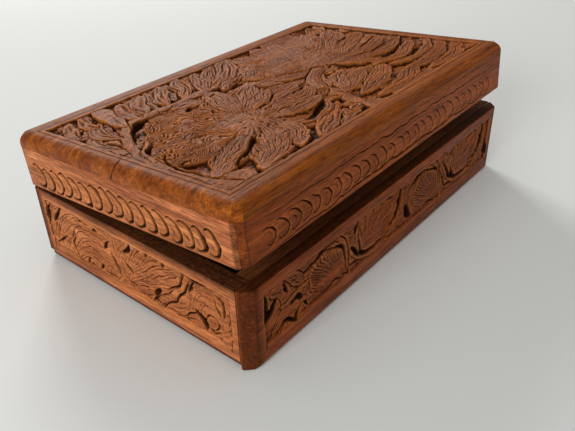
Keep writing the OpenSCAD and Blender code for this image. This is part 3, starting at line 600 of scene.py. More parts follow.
# %% The big leaf
def big_leaf(panel):
    fan(panel, (58, 46), [(-26, 28), (-16, 40), (-8, 34), (0, 45), (6, 40), (15, 48), (26, 36),
                         (41, 47), (52, 36), (66, 46), (80, 33), (94, 36), (104, 33), (114, 44),
                         (120, 42), (128, 48), (138, 42), (146, 44), (154, 41), (168, 42), (176, 43),
                         (190, 46), (197, 44), (203, 46), (212, 34), (226, 44), (237, 33), (248, 37),
                         (262, 24), (276, 29), (290, 20), (312, 30), (334, 28)],
        level=(-0.7, -1.0), flutes=34, gouge=0.7, crease=0.45, lap=0.3, roll=0.7, swirl=0.45,
        wave=1.5, cut=2.0, seed=2)
    lobes = [
        ([(70, 60), (80, 66), (92, 77)], 12, (-0.6, -0.4), dict(flutes=9, tilt=-0.3)),
        ([(74, 56), (88, 55), (104, 59)], 12, (-0.7, -0.4), dict(flutes=9, tilt=-0.3)),
        ([(72, 50), (88, 45), (103, 48)], 11, (-0.7, -0.7), dict(flutes=9)),
        ([(68, 54), (79, 58), (90, 63)], 8, (-0.5, 0.0), dict(flutes=6, tilt=-0.3)),
        ([(66, 42), (78, 37), (94, 37)], 10, (-0.6, -0.1), dict(flutes=8, tilt=-0.4)),
        ([(64, 36), (60, 24), (50, 12)], 10, (-0.7, -0.6), dict(flutes=8, tilt=0.3, teeth=5)),
        ([(58, 36), (46, 22), (27, 11.5)], 14, (-0.7, -0.7), dict(flutes=12, tilt=0.4, teeth=7)),
        ([(52, 40), (36, 33), (14, 22)], 12, (-0.7, -1.0), dict(flutes=10, tilt=0.3, teeth=6)),
        ([(64, 58), (69, 70), (75, 87)], 13, (-0.7, -0.7), dict(flutes=10, tilt=0.3)),
    ]
    leaf_group(panel, lobes, 1, free=0.62, blunt=1.2, wave=0.45, cut=0.35, gouge=0.65, tooth=0.24)
    low_leaves = [
        ([(90, 25), (76, 19), (60, 10)], 9, (-0.9, -0.5), dict(flutes=4, tilt=-0.3)),
        ([(92, 31), (82, 25), (66, 25)], 6, (-0.7, -0.6), dict(flutes=3)),
        ([(90, 14), (82, 13), (72, 10)], 5, (-1.2, -1.0), dict(flutes=2)),
    ]
    leaf_group(panel, low_leaves, 21, blunt=1.3)
    cuts = [
        ([(33, 54.5), (38, 54), (42, 52)], 1.6, 1.4),
        ([(61, 70), (59.5, 67), (60, 64)], 1.8, 1.5),
        ([(79, 53), (84, 55.5), (88, 59)], 1.6, 1.5),
        ([(97, 50), (100, 53), (102.5, 57)], 1.6, 1.2),
        ([(70, 27), (74, 26), (78, 26)], 1.8, 1.4),
        ([(69, 25.5), (80, 28), (92, 33.5)], 4.6, 2.2),
        ([(88, 67), (90, 69), (92, 73)], 2.0, 1.5),
        ([(71, 81), (73, 82.5), (76, 84)], 1.8, 1.5),
        ([(53, 76), (58, 79.5), (64, 80)], 5.0, 2.2),
        ([(92, 86), (94, 87), (97, 88)], 2.2, 1.5),
        ([(23, 22), (34, 26.5), (47, 34)], 1.9, 2.2),
        ([(40, 29), (43, 31), (47, 34.5)], 3.0, 1.6),
        ([(30, 11), (46, 11), (60, 11)], 2.4, 1.4),
        ([(54, 48), (58, 49), (62, 47)], 1.0, 0.7),
    ]
    slit_group(panel, cuts)
    punch(panel, [(55, 48), (60, 46), (60, 41), (55, 38), (59.5, 37), (68, 38), (64, 43), (52, 43),
                 (66, 34.5), (71, 41)], 0.9, 1.0)

# %% The stem round the big leaf
def near_stem(panel):
    leaf(panel, [(9, 8), (9.5, 45), (13, 80)], 8, (-0.25, -0.35), flutes=4, gouge=0.12, blunt=0.15,
         cut=0.5, seed=7)
    mound(panel, (15, 14), (9.5, 6), -0.3, drop=0.1)
    stem(panel, [(14, 12), (10, 24), (9.2, 38), (11, 54), (15, 68), (22, 80), (32, 89.5), (45, 91),
                (60, 90), (78, 91)], 4.8, (-0.25, -0.7), crown=0.35, cut=0.5, grooves=4)
    stem(panel, [(11, 50), (14, 60), (22, 66.5)], 2.2, (-0.4, -0.6), crown=0.2, cut=0.5)
    undercuts = [
        ([(16.5, 16.5), (12.3, 27), (12, 40), (14.5, 48), (19, 52.5)], 1.9, 2.6),
        ([(13.6, 56), (16.6, 61.5), (23, 64.5)], 2.2, 2.6),
        ([(19.3, 70), (25.5, 80), (33.5, 87), (43, 87.5), (54, 84)], 2.5, 2.6),
    ]
    slit_group(panel, undercuts)
    leaves = [
        ([(52, 86), (58, 86), (67, 81)], 8, (-0.7, -0.7), dict(flutes=3)),
        ([(13, 70), (10, 82), (16, 93)], 7, (-1.1, -1.0), dict(flutes=3, teeth=3)),
        ([(20, 80), (18, 92), (25, 104)], 7, (-1.1, -0.9), dict(flutes=3)),
        ([(10, 94), (13, 104), (18, 115)], 7, (-1.2, -1.1), dict(flutes=3, teeth=3)),
        ([(22, 98), (22, 106), (26, 116)], 6, (-1.2, -1.1), dict(flutes=2)),
        ([(29, 86), (31, 99), (34, 115)], 9, (-0.8, -0.1), dict(flutes=0, rib=0.3, belly=0.7, crown=0.3)),
        ([(40, 91), (38, 100), (44, 113)], 8, (-0.9, -0.5), dict(flutes=2, curl=0.15)),
        ([(43, 92), (47, 102), (55, 113)], 8, (-0.8, -0.1), dict(flutes=2, tilt=-0.3, curl=0.15)),
    ]
    leaf_group(panel, leaves, 81, blunt=1.1)

# %% Carve the lid
LID_FIELD = ((8.3, 9.7), (LENGTH - 9.0, WIDTH - 11.6))
LIP_WIDTH = 2.3
CRACK_ON_TOP = [(4.0, 61.8), (8, 63.6), (12.5, 65.4)]


def carve_lid(panel):
    rough_ground(panel, -3.0)
    undergrowth(panel, 260, (8, 10), (LENGTH - 8, WIDTH - 10), seed=5)
    far_leaf(panel)
    small_leaves(panel)
    big_leaf(panel)
    near_stem(panel)
    slit(panel, CRACK_ON_TOP, 1.0, 1.0, reach=1.0)
    tool_marks(panel)
    close_field(panel, *LID_FIELD, groove=LIP_WIDTH, run_out=5.0)

# %% [markdown]
# ## The foliage on the sides
# The long sides carry a running vine: a waving stem that throws a domed leaf down, then a cupped
# leaf up, and repeats. The ends are shorter and hold one domed leaf, one open fan, a slanting
# stem and a curled leaf round a small bud. The far two sides mirror the near two.

# %% Vine along the long sides
SIDE_FIELD_FOOT, SIDE_FIELD_HEAD = 7.4, 31.4
SIDE_FIELD_MARGIN = 8.6


def domed_leaf(panel, u, seed):
    """A leaf that bends over like a shell, with a thin second leaf following its back."""
    leaf(panel, [(u + 7, 27.5), (u + 22, 27), (u + 28.5, 9)], 6.5, (-1.0, -0.8), flutes=3, gouge=0.4,
         blunt=0.5, cut=1.6, seed=seed)
    fan(panel, (u + 27.5, 9.5), [(95, 6), (108, 14), (115, 17), (128, 23), (134, 24), (146, 27),
                                (151, 27.2), (162, 28), (167, 27.5), (176, 25.5), (182, 23)],
        level=(-0.9, -0.25), flutes=52, pitch=1.3, gouge=0.45, crease=0.3, lap=0.12, roll=0.2,
        swirl=0.5, cut=1.8, moat=0.8, seed=seed)
    slits = [
        ([(u + 12, 29.3), (u + 24.5, 24.5), (u + 29, 9.5)], 1.8, 2.4),
        ([(u - 2, 26), (u + 5, 27.8), (u + 14, 29.8)], 2.8, 2.0),
        ([(u - 3, 19), (u - 0.8, 14), (u + 2, 9.6)], 2.6, 2.0),
        ([(u + 14, 9), (u + 19, 9.8), (u + 24, 8.6)], 1.4, 1.0),
    ]
    slit_group(panel, slits)


def cupped_leaf(panel, u, seed):
    """A leaf that opens upwards like a cup, between two dark hollows."""
    leaf(panel, [(u + 27, 10.5), (u + 35, 17), (u + 38, 29)], 6, (-0.4, -0.6), flutes=4, gouge=0.3,
         cut=0.7, seed=seed)
    fan(panel, (u + 3, 12.5), [(-10, 14), (2, 24), (8, 25), (20, 30), (23, 29), (31, 34), (36, 28),
                              (46, 25.5), (50, 22.5), (60, 21), (66, 18.5), (76, 18.8), (82, 17),
                              (92, 17), (98, 13), (104, 12), (120, 6)],
        level=(-0.7, -0.5), flutes=44, pitch=1.5, gouge=0.4, crease=0.9, lap=0.3, roll=0.35,
        cut=1.8, moat=0.8, seed=seed)
    stem(panel, [(u - 12, 25), (u - 5, 16), (u + 5, 9.8), (u + 22, 9.2)], 1.9, (-0.25, -0.25),
         crown=0.3, cut=0.5, moat=0.5)
    leaf(panel, [(u - 12, 29.8), (u - 6, 26), (u - 1, 27)], 3.6, (-0.3, -0.6), flutes=2, cut=0.8)
    slits = [
        ([(u + 1, 30), (u - 0.8, 21), (u + 3, 12.5), (u + 14, 10.8), (u + 25, 13)], 2.4, 2.2),
        ([(u + 33.5, 30), (u + 31, 20), (u + 24, 13.5)], 4.4, 2.4),
        ([(u - 0.5, 30.5), (u - 2.5, 27), (u - 4, 24)], 3.6, 2.4),
        ([(u - 7, 20.5), (u - 3, 15.5), (u + 1, 12.5)], 2.8, 2.0),
        ([(u + 37, 19), (u + 38.5, 14), (u + 43, 9.5)], 4.2, 2.2),
        ([(u - 7, 11), (u - 3, 11), (u + 1, 9.8)], 1.8, 1.2),
    ]
    slit_group(panel, slits)


def carve_long_base(panel):
    rough_ground(panel, -0.65, 0.18)
    cupped_leaf(panel, 70, 30)
    cupped_leaf(panel, 153, 40)
    domed_leaf(panel, 33, 10)
    domed_leaf(panel, 111.5, 20)
    end_leaves = [
        ([(33, 22), (27, 27), (23, 31)], 6, (-0.5, -0.5), dict(flutes=4, cut=1.4)),
        ([(22, 17), (20, 26), (12, 30)], 7, (-0.4, -0.5), dict(flutes=5, cut=1.4)),
        ([(34, 14), (24, 16), (13, 8)], 6.5, (-0.5, -0.6), dict(flutes=4, cut=1.2)),
    ]
    leaf_group(panel, end_leaves, 3, gouge=0.35)
    stem(panel, [(20, 19), (27, 20.5), (35, 21)], 1.8, (-0.2, -0.4), crown=0.2, cut=1.0)
    slits = [
        ([(9.4, 30), (10.6, 23), (9.2, 15)], 4.0, 2.4),
        ([(9.6, 16), (13, 20), (16.5, 25.5)], 3.6, 2.2),
        ([(20, 30.5), (20.8, 27), (22.5, 23.5)], 2.4, 2.0),
        ([(23, 17.5), (28, 18.6), (32, 15)], 3.4, 2.2),
        ([(15, 8.6), (21, 11.6), (27, 8)], 3.0, 2.0),
        ([(30, 12.5), (27, 9.5), (25, 8)], 2.0, 1.4),
        ([(141, 27), (148, 20), (156, 11)], 1.6, 1.4),
        ([(140, 22), (145, 15), (148, 9)], 1.6, 1.0),
    ]
    slit_group(panel, slits)
    billow(panel, 0.7, 6.0, 15)
    tool_marks(panel)
    close_field(panel, (SIDE_FIELD_MARGIN, SIDE_FIELD_FOOT),
                (LENGTH - SIDE_FIELD_MARGIN, SIDE_FIELD_HEAD), fade=1.6)

# %% Leaves on the ends
def carve_short_base(panel):
    rough_ground(panel, -0.5, 0.18)
    leaves = [
        ([(9, 12), (10, 22), (14, 32)], 5, (-0.5, -0.8), dict(flutes=2)),
        ([(9, 8), (18, 27), (48, 31.5)], 10, (-0.35, -0.5), dict(flutes=6, tilt=-0.2)),
        ([(14, 8), (26, 24), (53, 25)], 12, (-0.3, -0.5), dict(flutes=8, tilt=-0.2)),
        ([(21, 8), (34, 20), (55, 15)], 12, (-0.3, -0.6), dict(flutes=8, tilt=-0.2)),
        ([(26, 9), (38, 13), (53, 8.5)], 8, (-0.3, -0.6), dict(flutes=5)),
        ([(62, 9), (57, 18), (52, 31)], 5, (-0.6, -0.4), dict(flutes=3)),
        ([(60, 12), (61, 24), (68, 32)], 8, (-0.4, -0.6), dict(flutes=5, tilt=0.2)),
        ([(61, 11), (69, 23), (79, 32)], 10, (-0.35, -0.6), dict(flutes=7, tilt=0.2)),
        ([(62, 10), (76, 20), (92, 30)], 12, (-0.3, -0.5), dict(flutes=8, tilt=0.2)),
        ([(63, 9), (76, 13), (88, 18)], 8, (-0.4, -0.6), dict(flutes=6)),
        ([(79, 9), (92, 12), (104, 17)], 6, (-0.4, -0.6), dict(flutes=5)),
        ([(96, 15), (98, 28), (114, 31)], 9, (-0.35, -0.5), dict(flutes=6, tilt=-0.2)),
        ([(97, 13), (104, 25), (117, 23)], 8, (-0.35, -0.5), dict(flutes=6, tilt=-0.2)),
        ([(118, 27), (121, 15), (112, 8.5)], 6, (-0.3, -0.4), dict(flutes=2, crown=0.2)),
    ]
    leaf_group(panel, leaves, 41, blunt=0.7, gouge=0.34, cut=0.5, moat=0.5)
    stem(panel, [(77, 8), (86, 15), (93, 23), (96, 32)], 3.6, (-0.7, -0.7), cut=0.6, grooves=3)
    mound(panel, (107.8, 14), (2.7, 2.9), -0.4, drop=0.1, cut=1.6)
    slits = [
        ([(25.2, 20), (24, 15), (26, 9.5)], 2.4, 2.4),
        ([(34.8, 11.5), (33, 9.5), (32, 8)], 2.2, 1.8),
        ([(45, 12.8), (43, 10.5), (41.5, 8.5)], 2.8, 2.2),
        ([(39.6, 27), (41, 28), (43.5, 28.3)], 2.0, 1.8),
        ([(50.5, 26), (48.5, 23), (46, 20.5)], 3.2, 2.4),
        ([(50.3, 20.5), (53, 15.5), (54.6, 9)], 3.8, 2.8),
        ([(64.5, 31.2), (63, 28), (59, 25)], 3.8, 2.6),
        ([(58.6, 22), (61.5, 19), (64.8, 16)], 2.0, 1.8),
        ([(58.6, 14.5), (59.5, 11.2), (66.5, 10)], 3.0, 2.2),
        ([(74.2, 31.2), (74, 30), (73.4, 28.3)], 2.4, 2.0),
        ([(83.8, 31.2), (83.5, 29.3), (82.2, 27.5)], 2.8, 2.0),
        ([(94.2, 31), (91, 23), (83.5, 17.5)], 1.9, 2.6),
        ([(80, 16), (77.5, 13), (76.2, 10.5)], 3.8, 2.6),
        ([(94, 31), (99, 30), (108, 31.2)], 3.2, 2.2),
        ([(99.8, 30), (98, 26), (96.3, 22)], 2.4, 2.0),
        ([(99.5, 17.5), (102.5, 13.5), (104.2, 9)], 5.0, 2.6),
        ([(110.6, 29), (114, 25), (114.4, 19)], 2.4, 2.4),
        ([(109.2, 25.5), (111.5, 22), (113.2, 18)], 2.0, 2.0),
        ([(117.6, 24.5), (118, 20), (116.3, 16.5)], 1.4, 1.2),
        ([(12.5, 21), (15.5, 26), (17.8, 31)], 3.0, 1.8),
        ([(8.8, 21), (8.6, 25), (9.4, 29)], 2.4, 1.4),
        ([(87.5, 14.5), (93, 20), (97, 28)], 1.3, 1.4),
        ([(93.5, 10), (97, 13), (101.5, 15.8)], 1.5, 1.4),
        ([(10, 9.6), (14, 12.5), (21, 17.5)], 1.5, 1.2),
        ([(30.5, 27.5), (33.5, 29.2), (38, 29.6)], 1.5, 1.2),
        ([(104.5, 11), (108, 10), (112, 11.5)], 1.4, 1.6),
    ]
    slit_group(panel, slits, narrower=0.8, slope=0.5)
    billow(panel, 0.9, 5.0, 14)
    tool_marks(panel)
    close_field(panel, (SIDE_FIELD_MARGIN, SIDE_FIELD_FOOT),
                (WIDTH - SIDE_FIELD_MARGIN, SIDE_FIELD_HEAD), fade=1.6)

# %% Scallops round the lid
SCALLOP_PITCH = 6.4


def carve_scallops(panel, first, last, low, high, bold, fade=0.0):
    """A row of hooked cuts between two heights that lean the same way, so that tongues of wood
    seem to overlap. With a fade they grow fainter along the row."""
    pick = np.random.default_rng(round(last))
    count = int((last - first) / SCALLOP_PITCH)
    for i in range(count):
        u = first + (i + 0.6) * SCALLOP_PITCH + pick.uniform(-0.5, 0.5)
        hook = [(u - 5.2, 0.93), (u - 3.0, 1.0), (u - 0.3, 0.84), (u + 1.5, 0.56), (u + 1.9, 0.32),
                (u + 0.6, 0.08), (u - 2.0, 0.0), (u - 3.8, 0.12)]
        top = high + pick.uniform(-0.5, 0.4)
        hook = [(across, low + share * (top - low)) for across, share in hook]
        strength = bold * (1 - fade * i / count) * pick.uniform(0.85, 1.1)
        slit(panel, hook, 2.1 * strength, 2.1 * strength, 0.42, slope=0.5 * strength, reach=3.4)
        inner = [(u - 3.0, low + 6.0), (u - 1.2, low + 4.3), (u - 1.0, low + 2.4)]
        slit(panel, inner, 0.8, bold * pick.uniform(0.0, 0.8))


def carve_end_rail(panel):
    """Bold scallops, with a faint line scored over them."""
    slit(panel, [(5, 12.6), (60, 12.4), (122, 12.6)], 0.6, 0.2, reach=0.6)
    carve_scallops(panel, 9.0, WIDTH - 8, 1.3, 11.3, 1.0)


def carve_long_rail(panel):
    """Fainter scallops between two scored lines; the lower one leaves a thin bead at the foot."""
    carve_scallops(panel, 12, LENGTH - 10, 3.2, 10.9, 0.46, fade=0.4)
    slit(panel, [(4, 14.5), (100, 14.3), (196, 14.4)], 0.7, 0.5, reach=0.7)
    slit(panel, [(12, 1.3), (55, 1.6), (80, 2.4), (160, 2.3), (190, 2.2)], 1.1, 0.9, reach=1.0)

# %% [markdown]
# ## Slabs and boards
# A height grid becomes a closed slab: the grid is lifted to the heights, its rim is drawn down
# and the bottom filled. Two numbers are kept with every point for the finish. Dirt is how far a
# point lies below the wood around it, where grime and old polish settle and where the finish also
# paints shade. Wear is how far it stands above, where hands rub the wood pale and shiny and where
# the finish also paints a highlight.

# %% Slab from a height grid
def blurred(z, reach):
    """Each height averaged with its neighbours, by running sums along both directions."""
    for axis in (0, 1):
        ends = [(0, 0), (0, 0)]
        ends[axis] = (reach + 1, reach)
        total = np.cumsum(np.pad(z, ends, mode="edge"), axis=axis)
        size = z.shape[axis]
        upper = np.take(total, range(2 * reach + 1, 2 * reach + 1 + size), axis=axis)
        lower = np.take(total, range(0, size), axis=axis)
        z = (upper - lower) / (2 * reach + 1)
    return z


def dirt_shade_wear_and_highlight(panel):
    """How far each point lies under, and stands over, the wood within about two millimetres."""
    z, step = panel["z"], panel["step"]
    near = blurred(blurred(z, max(1, round(0.5 / step))), 1)
    wide = blurred(blurred(z, round(1.8 / step)), round(1.2 / step))
    # The dirt number is also painted shade in hollows, and the wear number a painted highlight on ridges.
    dirt_and_shade = np.clip((near - z) / 0.26, 0, 1) * 0.75 + np.clip((wide - z - 0.1) / 0.9, 0, 1)
    wear_and_highlight = np.clip((z - near) / 0.25, 0, 1) * 0.6 + np.clip((z - wide) / 1.0, 0, 1) * 0.4
    return np.clip(np.maximum(dirt_and_shade, panel["soot_and_shade"]), 0, 1), np.clip(wear_and_highlight, 0, 1)


def set_numbers(mesh, name, values):
    numbers = mesh.attributes.new(name, "FLOAT", "POINT")
    numbers.data.foreach_set("value", np.asarray(values, np.float32))


def carved_slab(name, panel, depth, stand, dirt_and_shade, wear_and_highlight):
    """A closed slab whose top follows the heights, stood on the box by a matrix."""
    rows, columns = panel["z"].shape
    bm = bmesh.new()
    bmesh.ops.create_grid(bm, x_segments=columns - 1, y_segments=rows - 1, size=1)
    rim = [e for e in bm.edges if e.is_boundary]
    skirt = bmesh.ops.extrude_edge_only(bm, edges=rim)
    low_rim = [g for g in skirt["geom"] if isinstance(g, bmesh.types.BMEdge) and g.is_boundary]
    low_points = [g for g in skirt["geom"] if isinstance(g, bmesh.types.BMVert)]
    bmesh.ops.translate(bm, verts=low_points, vec=(0, 0, -1))
    bmesh.ops.edgeloop_fill(bm, edges=low_rim)
    bmesh.ops.recalc_face_normals(bm, faces=bm.faces[:])
    for edge in rim:
        edge.smooth = False
    for face in bm.faces:
        face.smooth = True
    mesh = bpy.data.meshes.new(name)
    bm.to_mesh(mesh)
    bm.free()
    co = np.empty(len(mesh.vertices) * 3, np.float32)
    mesh.vertices.foreach_get("co", co)
    co = co.reshape(-1, 3).astype(float)
    is_top = co[:, 2] > -0.5
    column = np.rint((co[:, 0] + 1) / 2 * (columns - 1)).astype(int)
    row = np.rint((co[:, 1] + 1) / 2 * (rows - 1)).astype(int)
    place = np.ones((len(co), 4))
    place[:, 0] = panel["u"][row, column]
    place[:, 1] = panel["v"][row, column]
    place[:, 2] = np.where(is_top, panel["z"][row, column], -depth)
    placed = place @ np.array(stand).T
    mesh.vertices.foreach_set("co", (placed[:, :3] * MM).astype(np.float32).ravel())
    set_numbers(mesh, "dirt_and_shade", np.where(is_top, dirt_and_shade[row, column], 0))
    set_numbers(mesh, "wear_and_highlight", np.where(is_top, wear_and_highlight[row, column], 0))
    mesh.update()
    return bpy.data.objects.new(name, mesh)


def part_of(grid, first, last):
    """The columns of a grid from first to last."""
    if isinstance(grid, dict):
        return {key: part_of(value, first, last) if key != "step" else value
                for key, value in grid.items()}
    return grid[:, first:last + 1]

# %% Finishing a piece
def object_from(name, bm, stand, flat_limit=30):
    """Turns a millimetre mesh into an object in metres, shaded smooth except over sharp edges."""
    bmesh.ops.transform(bm, matrix=Matrix.Scale(MM, 4) @ stand, verts=bm.verts[:])
    bmesh.ops.recalc_face_normals(bm, faces=bm.faces[:])
    for face in bm.faces:
        face.smooth = True
    for edge in bm.edges:
        edge.smooth = edge.calc_face_angle(math.pi) < math.radians(flat_limit)
    mesh = bpy.data.meshes.new(name)
    bm.to_mesh(mesh)
    bm.free()
    return bpy.data.objects.new(name, mesh)


def finish_piece(obj, body, material, slot, *nodes):
    """Shows a piece, gives it its finish, hides the solids that it stands for and hangs it on the body
    that it moves with.
    """
    bpy.context.scene.collection.objects.link(obj)
    obj.data.materials.clear()
    obj.data.materials.append(material)
    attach(obj, body)
    if nodes:
        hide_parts(*nodes)
    print(f"{obj.name}: {len(obj.data.polygons)} faces, rides on {body}")

# %% [markdown]
# ## Materials
# The wood is one hardwood throughout, oiled and darkened by handling. A shared group gives the
# figure of any board: broad growth bands drawn out along the grain, fine fibres, and short pores.
# It is worked out in space and not on the surface, so a moulding or a carved leaf cuts through it
# the way it does in real wood, and the ends of a board show end grain.
# A second group turns dirt and wear into masks, broken up so that grime gathers unevenly; the dirt mask
# also paints shade into hollows, and the wear mask paints a highlight on ridges.

# %% Helpers for materials
def add(tree, kind, **settings):
    node = tree.nodes.new("ShaderNode" + kind)
    for name, value in settings.items():
        setattr(node, name, value)
    return node


def feed(tree, socket, value):
    """Joins a socket to another, or sets its own value."""
    if isinstance(value, bpy.types.NodeSocket):
        tree.links.new(value, socket)
    else:
        socket.default_value = value


def maths(tree, operation, *values, clamp=False):
    node = add(tree, "Math", operation=operation, use_clamp=clamp)
    for socket, value in zip(node.inputs, values):
        feed(tree, socket, value)
    return node.outputs[0]


def mix(tree, factor, a, b, blend="MIX"):
    node = add(tree, "Mix", data_type="RGBA", blend_type=blend)
    feed(tree, node.inputs[0], factor)
    feed(tree, node.inputs[6], a)
    feed(tree, node.inputs[7], b)
    return node.outputs[2]


def noise(tree, place, stretch, detail=4.0, distortion=0.0):
    """Noise in millimetres, drawn out by a stretch along each axis."""
    mapping = add(tree, "Mapping")
    mapping.inputs["Scale"].default_value = stretch
    feed(tree, mapping.inputs["Vector"], place)
    node = add(tree, "TexNoise")
    feed(tree, node.inputs["Vector"], mapping.outputs[0])
    node.inputs["Scale"].default_value = 1.0
    node.inputs["Detail"].default_value = detail
    node.inputs["Distortion"].default_value = distortion
    return node.outputs["Fac"]


def spread(tree, value, low, high):
    """Stretches the part of a value between low and high to 0 to 1."""
    node = add(tree, "MapRange", clamp=True)
    feed(tree, node.inputs["Value"], value)
    node.inputs["From Min"].default_value = low
    node.inputs["From Max"].default_value = high
    return node.outputs[0]


def new_group(name, takes, gives):
    """An empty node group with its sockets; returns the group and its two ends."""
    group = bpy.data.node_groups.new(name, "ShaderNodeTree")
    for title, kind in takes:
        group.interface.new_socket(title, in_out="INPUT", socket_type="NodeSocket" + kind)
    for title, kind in gives:
        group.interface.new_socket(title, in_out="OUTPUT", socket_type="NodeSocket" + kind)
    return group, group.nodes.new("NodeGroupInput"), group.nodes.new("NodeGroupOutput")

# %% The figure of the wood
def make_wood_figure():
    group, start, end = new_group(
        "wood figure", [("Place", "Vector")],
        [("Bands", "Float"), ("Fibres", "Float"), ("Pores", "Float"), ("Relief", "Float")])
    place = start.outputs["Place"]
    bands = noise(group, place, (0.012, 0.16, 0.16), detail=5, distortion=0.7)
    streaks = noise(group, place, (0.035, 0.75, 0.75), detail=4, distortion=0.5)
    fibres = noise(group, place, (0.10, 2.4, 2.4), detail=3, distortion=0.2)
    pores = spread(group, noise(group, place, (0.20, 2.1, 2.1), detail=2), 0.54, 0.64)
    lines = maths(group, "ADD", maths(group, "MULTIPLY", spread(group, streaks, 0.3, 0.7), 0.55),
                  maths(group, "MULTIPLY", spread(group, fibres, 0.3, 0.7), 0.45))
    relief = maths(group, "SUBTRACT", maths(group, "MULTIPLY", fibres, 0.22),
                   maths(group, "MULTIPLY", pores, 0.14))
    for title, value in [("Bands", spread(group, bands, 0.34, 0.66)), ("Fibres", lines),
                         ("Pores", pores), ("Relief", relief)]:
        feed(group, end.inputs[title], value)
    return group


def make_handling_and_painted_light():
    group, start, end = new_group(
        "handling_and_painted_light", [("Place", "Vector")],
        [("Grime and shade", "Float"), ("Rub and highlight", "Float"), ("Blotch", "Float"), ("Haze", "Float"),
         ("Dents", "Float")])
    place = start.outputs["Place"]
    dirt_and_shade = add(group, "Attribute", attribute_name="dirt_and_shade")
    wear_and_highlight = add(group, "Attribute", attribute_name="wear_and_highlight")
    uneven = spread(group, noise(group, place, (0.09, 0.09, 0.09), detail=4), 0.3, 0.7)
    fine = noise(group, place, (0.8, 0.8, 0.8), detail=3)
    # The grime mask also paints the shade of hollows, and the rub mask a highlight on ridges.
    grime_and_shade = maths(group, "MULTIPLY", dirt_and_shade.outputs["Fac"],
                  maths(group, "ADD", maths(group, "MULTIPLY", fine, 0.7), 0.75), clamp=True)
    rub_and_highlight = maths(group, "MULTIPLY", wear_and_highlight.outputs["Fac"],
                maths(group, "ADD", maths(group, "MULTIPLY", fine, 0.9), 0.4), clamp=True)
    haze = spread(group, noise(group, place, (0.035, 0.05, 0.05), detail=5, distortion=0.6), 0.48, 0.66)
    dents = noise(group, place, (0.16, 0.16, 0.16), detail=3)
    for title, value in [("Grime and shade", grime_and_shade), ("Rub and highlight", rub_and_highlight), ("Blotch", uneven), ("Haze", haze),
                         ("Dents", dents)]:
        feed(group, end.inputs[title], value)
    return group


WOOD_FIGURE = make_wood_figure()
HANDLING_AND_PAINTED_LIGHT = make_handling_and_painted_light()

# %% Wood
REDDENED = (0.17, 0.034, 0.012, 1)
DUSTY = (0.27, 0.105, 0.060, 1)
PORE_BROWN = (0.055, 0.012, 0.003, 1)
# The rubbed colour is the pale of worn ridges and also a painted highlight; the grime colour is the black
# of dirty hollows and also painted shade.
RUBBED_AND_HIGHLIT = (0.56, 0.200, 0.055, 1)
VARNISH = (1.0, 0.60, 0.32, 1)
GRIME_AND_SHADE = (0.022, 0.006, 0.002, 1)
SHEEN = 0.11  # how strongly the oiled wood mirrors
GRAIN_TURN = {"X": (0, 0, 0), "Y": (0, 0, math.radians(90)), "Z": (0, math.radians(90), 0)}


def in_millimetres(tree, location=(0, 0, 0), rotation=(0, 0, 0)):
    """The place of each point on the piece, in millimetres, moved and turned."""
    mapping = add(tree, "Mapping")
    mapping.inputs["Location"].default_value = location
    mapping.inputs["Rotation"].default_value = rotation
    mapping.inputs["Scale"].default_value = (1 / MM, 1 / MM, 1 / MM)
    feed(tree, mapping.inputs["Vector"], add(tree, "TexCoord").outputs["Object"])
    return mapping.outputs[0]


def roughen(tree, shader, height, strength, distance):
    """Bumps a surface by a height, without moving it."""
    bump = add(tree, "Bump")
    bump.inputs["Strength"].default_value = strength
    bump.inputs["Distance"].default_value = distance
    feed(tree, bump.inputs["Height"], height)
    feed(tree, shader.inputs["Normal"], bump.outputs[0])


def wood(name, pale, deep, grain="X", gloss=0.46, shift=(0.0, 0.0, 0.0)):
    """Oiled hardwood. pale and deep are its growth bands, grain the axis that they run along, and
    shift moves the figure so that one wood differs from the next."""
    material = bpy.data.materials.new(name)
    material.use_nodes = True
    tree = material.node_tree
    shader = tree.nodes["Principled BSDF"]
    place = in_millimetres(tree, shift, GRAIN_TURN[grain])
    figure = add(tree, "Group", node_tree=WOOD_FIGURE)
    handling_and_painted_light = add(tree, "Group", node_tree=HANDLING_AND_PAINTED_LIGHT)
    for node in (figure, handling_and_painted_light):
        feed(tree, node.inputs["Place"], place)
    colour = mix(tree, figure.outputs["Bands"], (*deep, 1), (*pale, 1))
    colour = mix(tree, maths(tree, "MULTIPLY", handling_and_painted_light.outputs["Blotch"], 0.45), colour, REDDENED)
    haze = maths(tree, "MULTIPLY", handling_and_painted_light.outputs["Haze"], 0.18)
    colour = mix(tree, haze, colour, DUSTY)
    shade = maths(tree, "ADD", maths(tree, "MULTIPLY", figure.outputs["Fibres"], 1.4), 0.32)
    colour = mix(tree, 1.0, colour, shade, "MULTIPLY")
    colour = mix(tree, maths(tree, "MULTIPLY", figure.outputs["Pores"], 0.45), colour, PORE_BROWN)
    # Ridges are painted paler, as wear and as a painted highlight, and hollows near black, as grime and
    # as painted shade.
    colour = mix(tree, maths(tree, "MULTIPLY", handling_and_painted_light.outputs["Rub and highlight"], 0.65), colour, RUBBED_AND_HIGHLIT)
    colour = mix(tree, handling_and_painted_light.outputs["Grime and shade"], colour, GRIME_AND_SHADE)
    feed(tree, shader.inputs["Base Color"], colour)
    rough = maths(tree, "ADD", maths(tree, "MULTIPLY", figure.outputs["Fibres"], 0.14), gloss - 0.07)
    rough = maths(tree, "ADD", rough, maths(tree, "MULTIPLY", handling_and_painted_light.outputs["Grime and shade"], 0.2))
    feed(tree, shader.inputs["Roughness"], rough)
    height = maths(tree, "ADD", figure.outputs["Relief"],
                   maths(tree, "MULTIPLY", handling_and_painted_light.outputs["Dents"], 0.6))
    roughen(tree, shader, height, 0.8, MM)
    shader.inputs["Specular IOR Level"].default_value = SHEEN
    shader.inputs["Specular Tint"].default_value = VARNISH
    return material


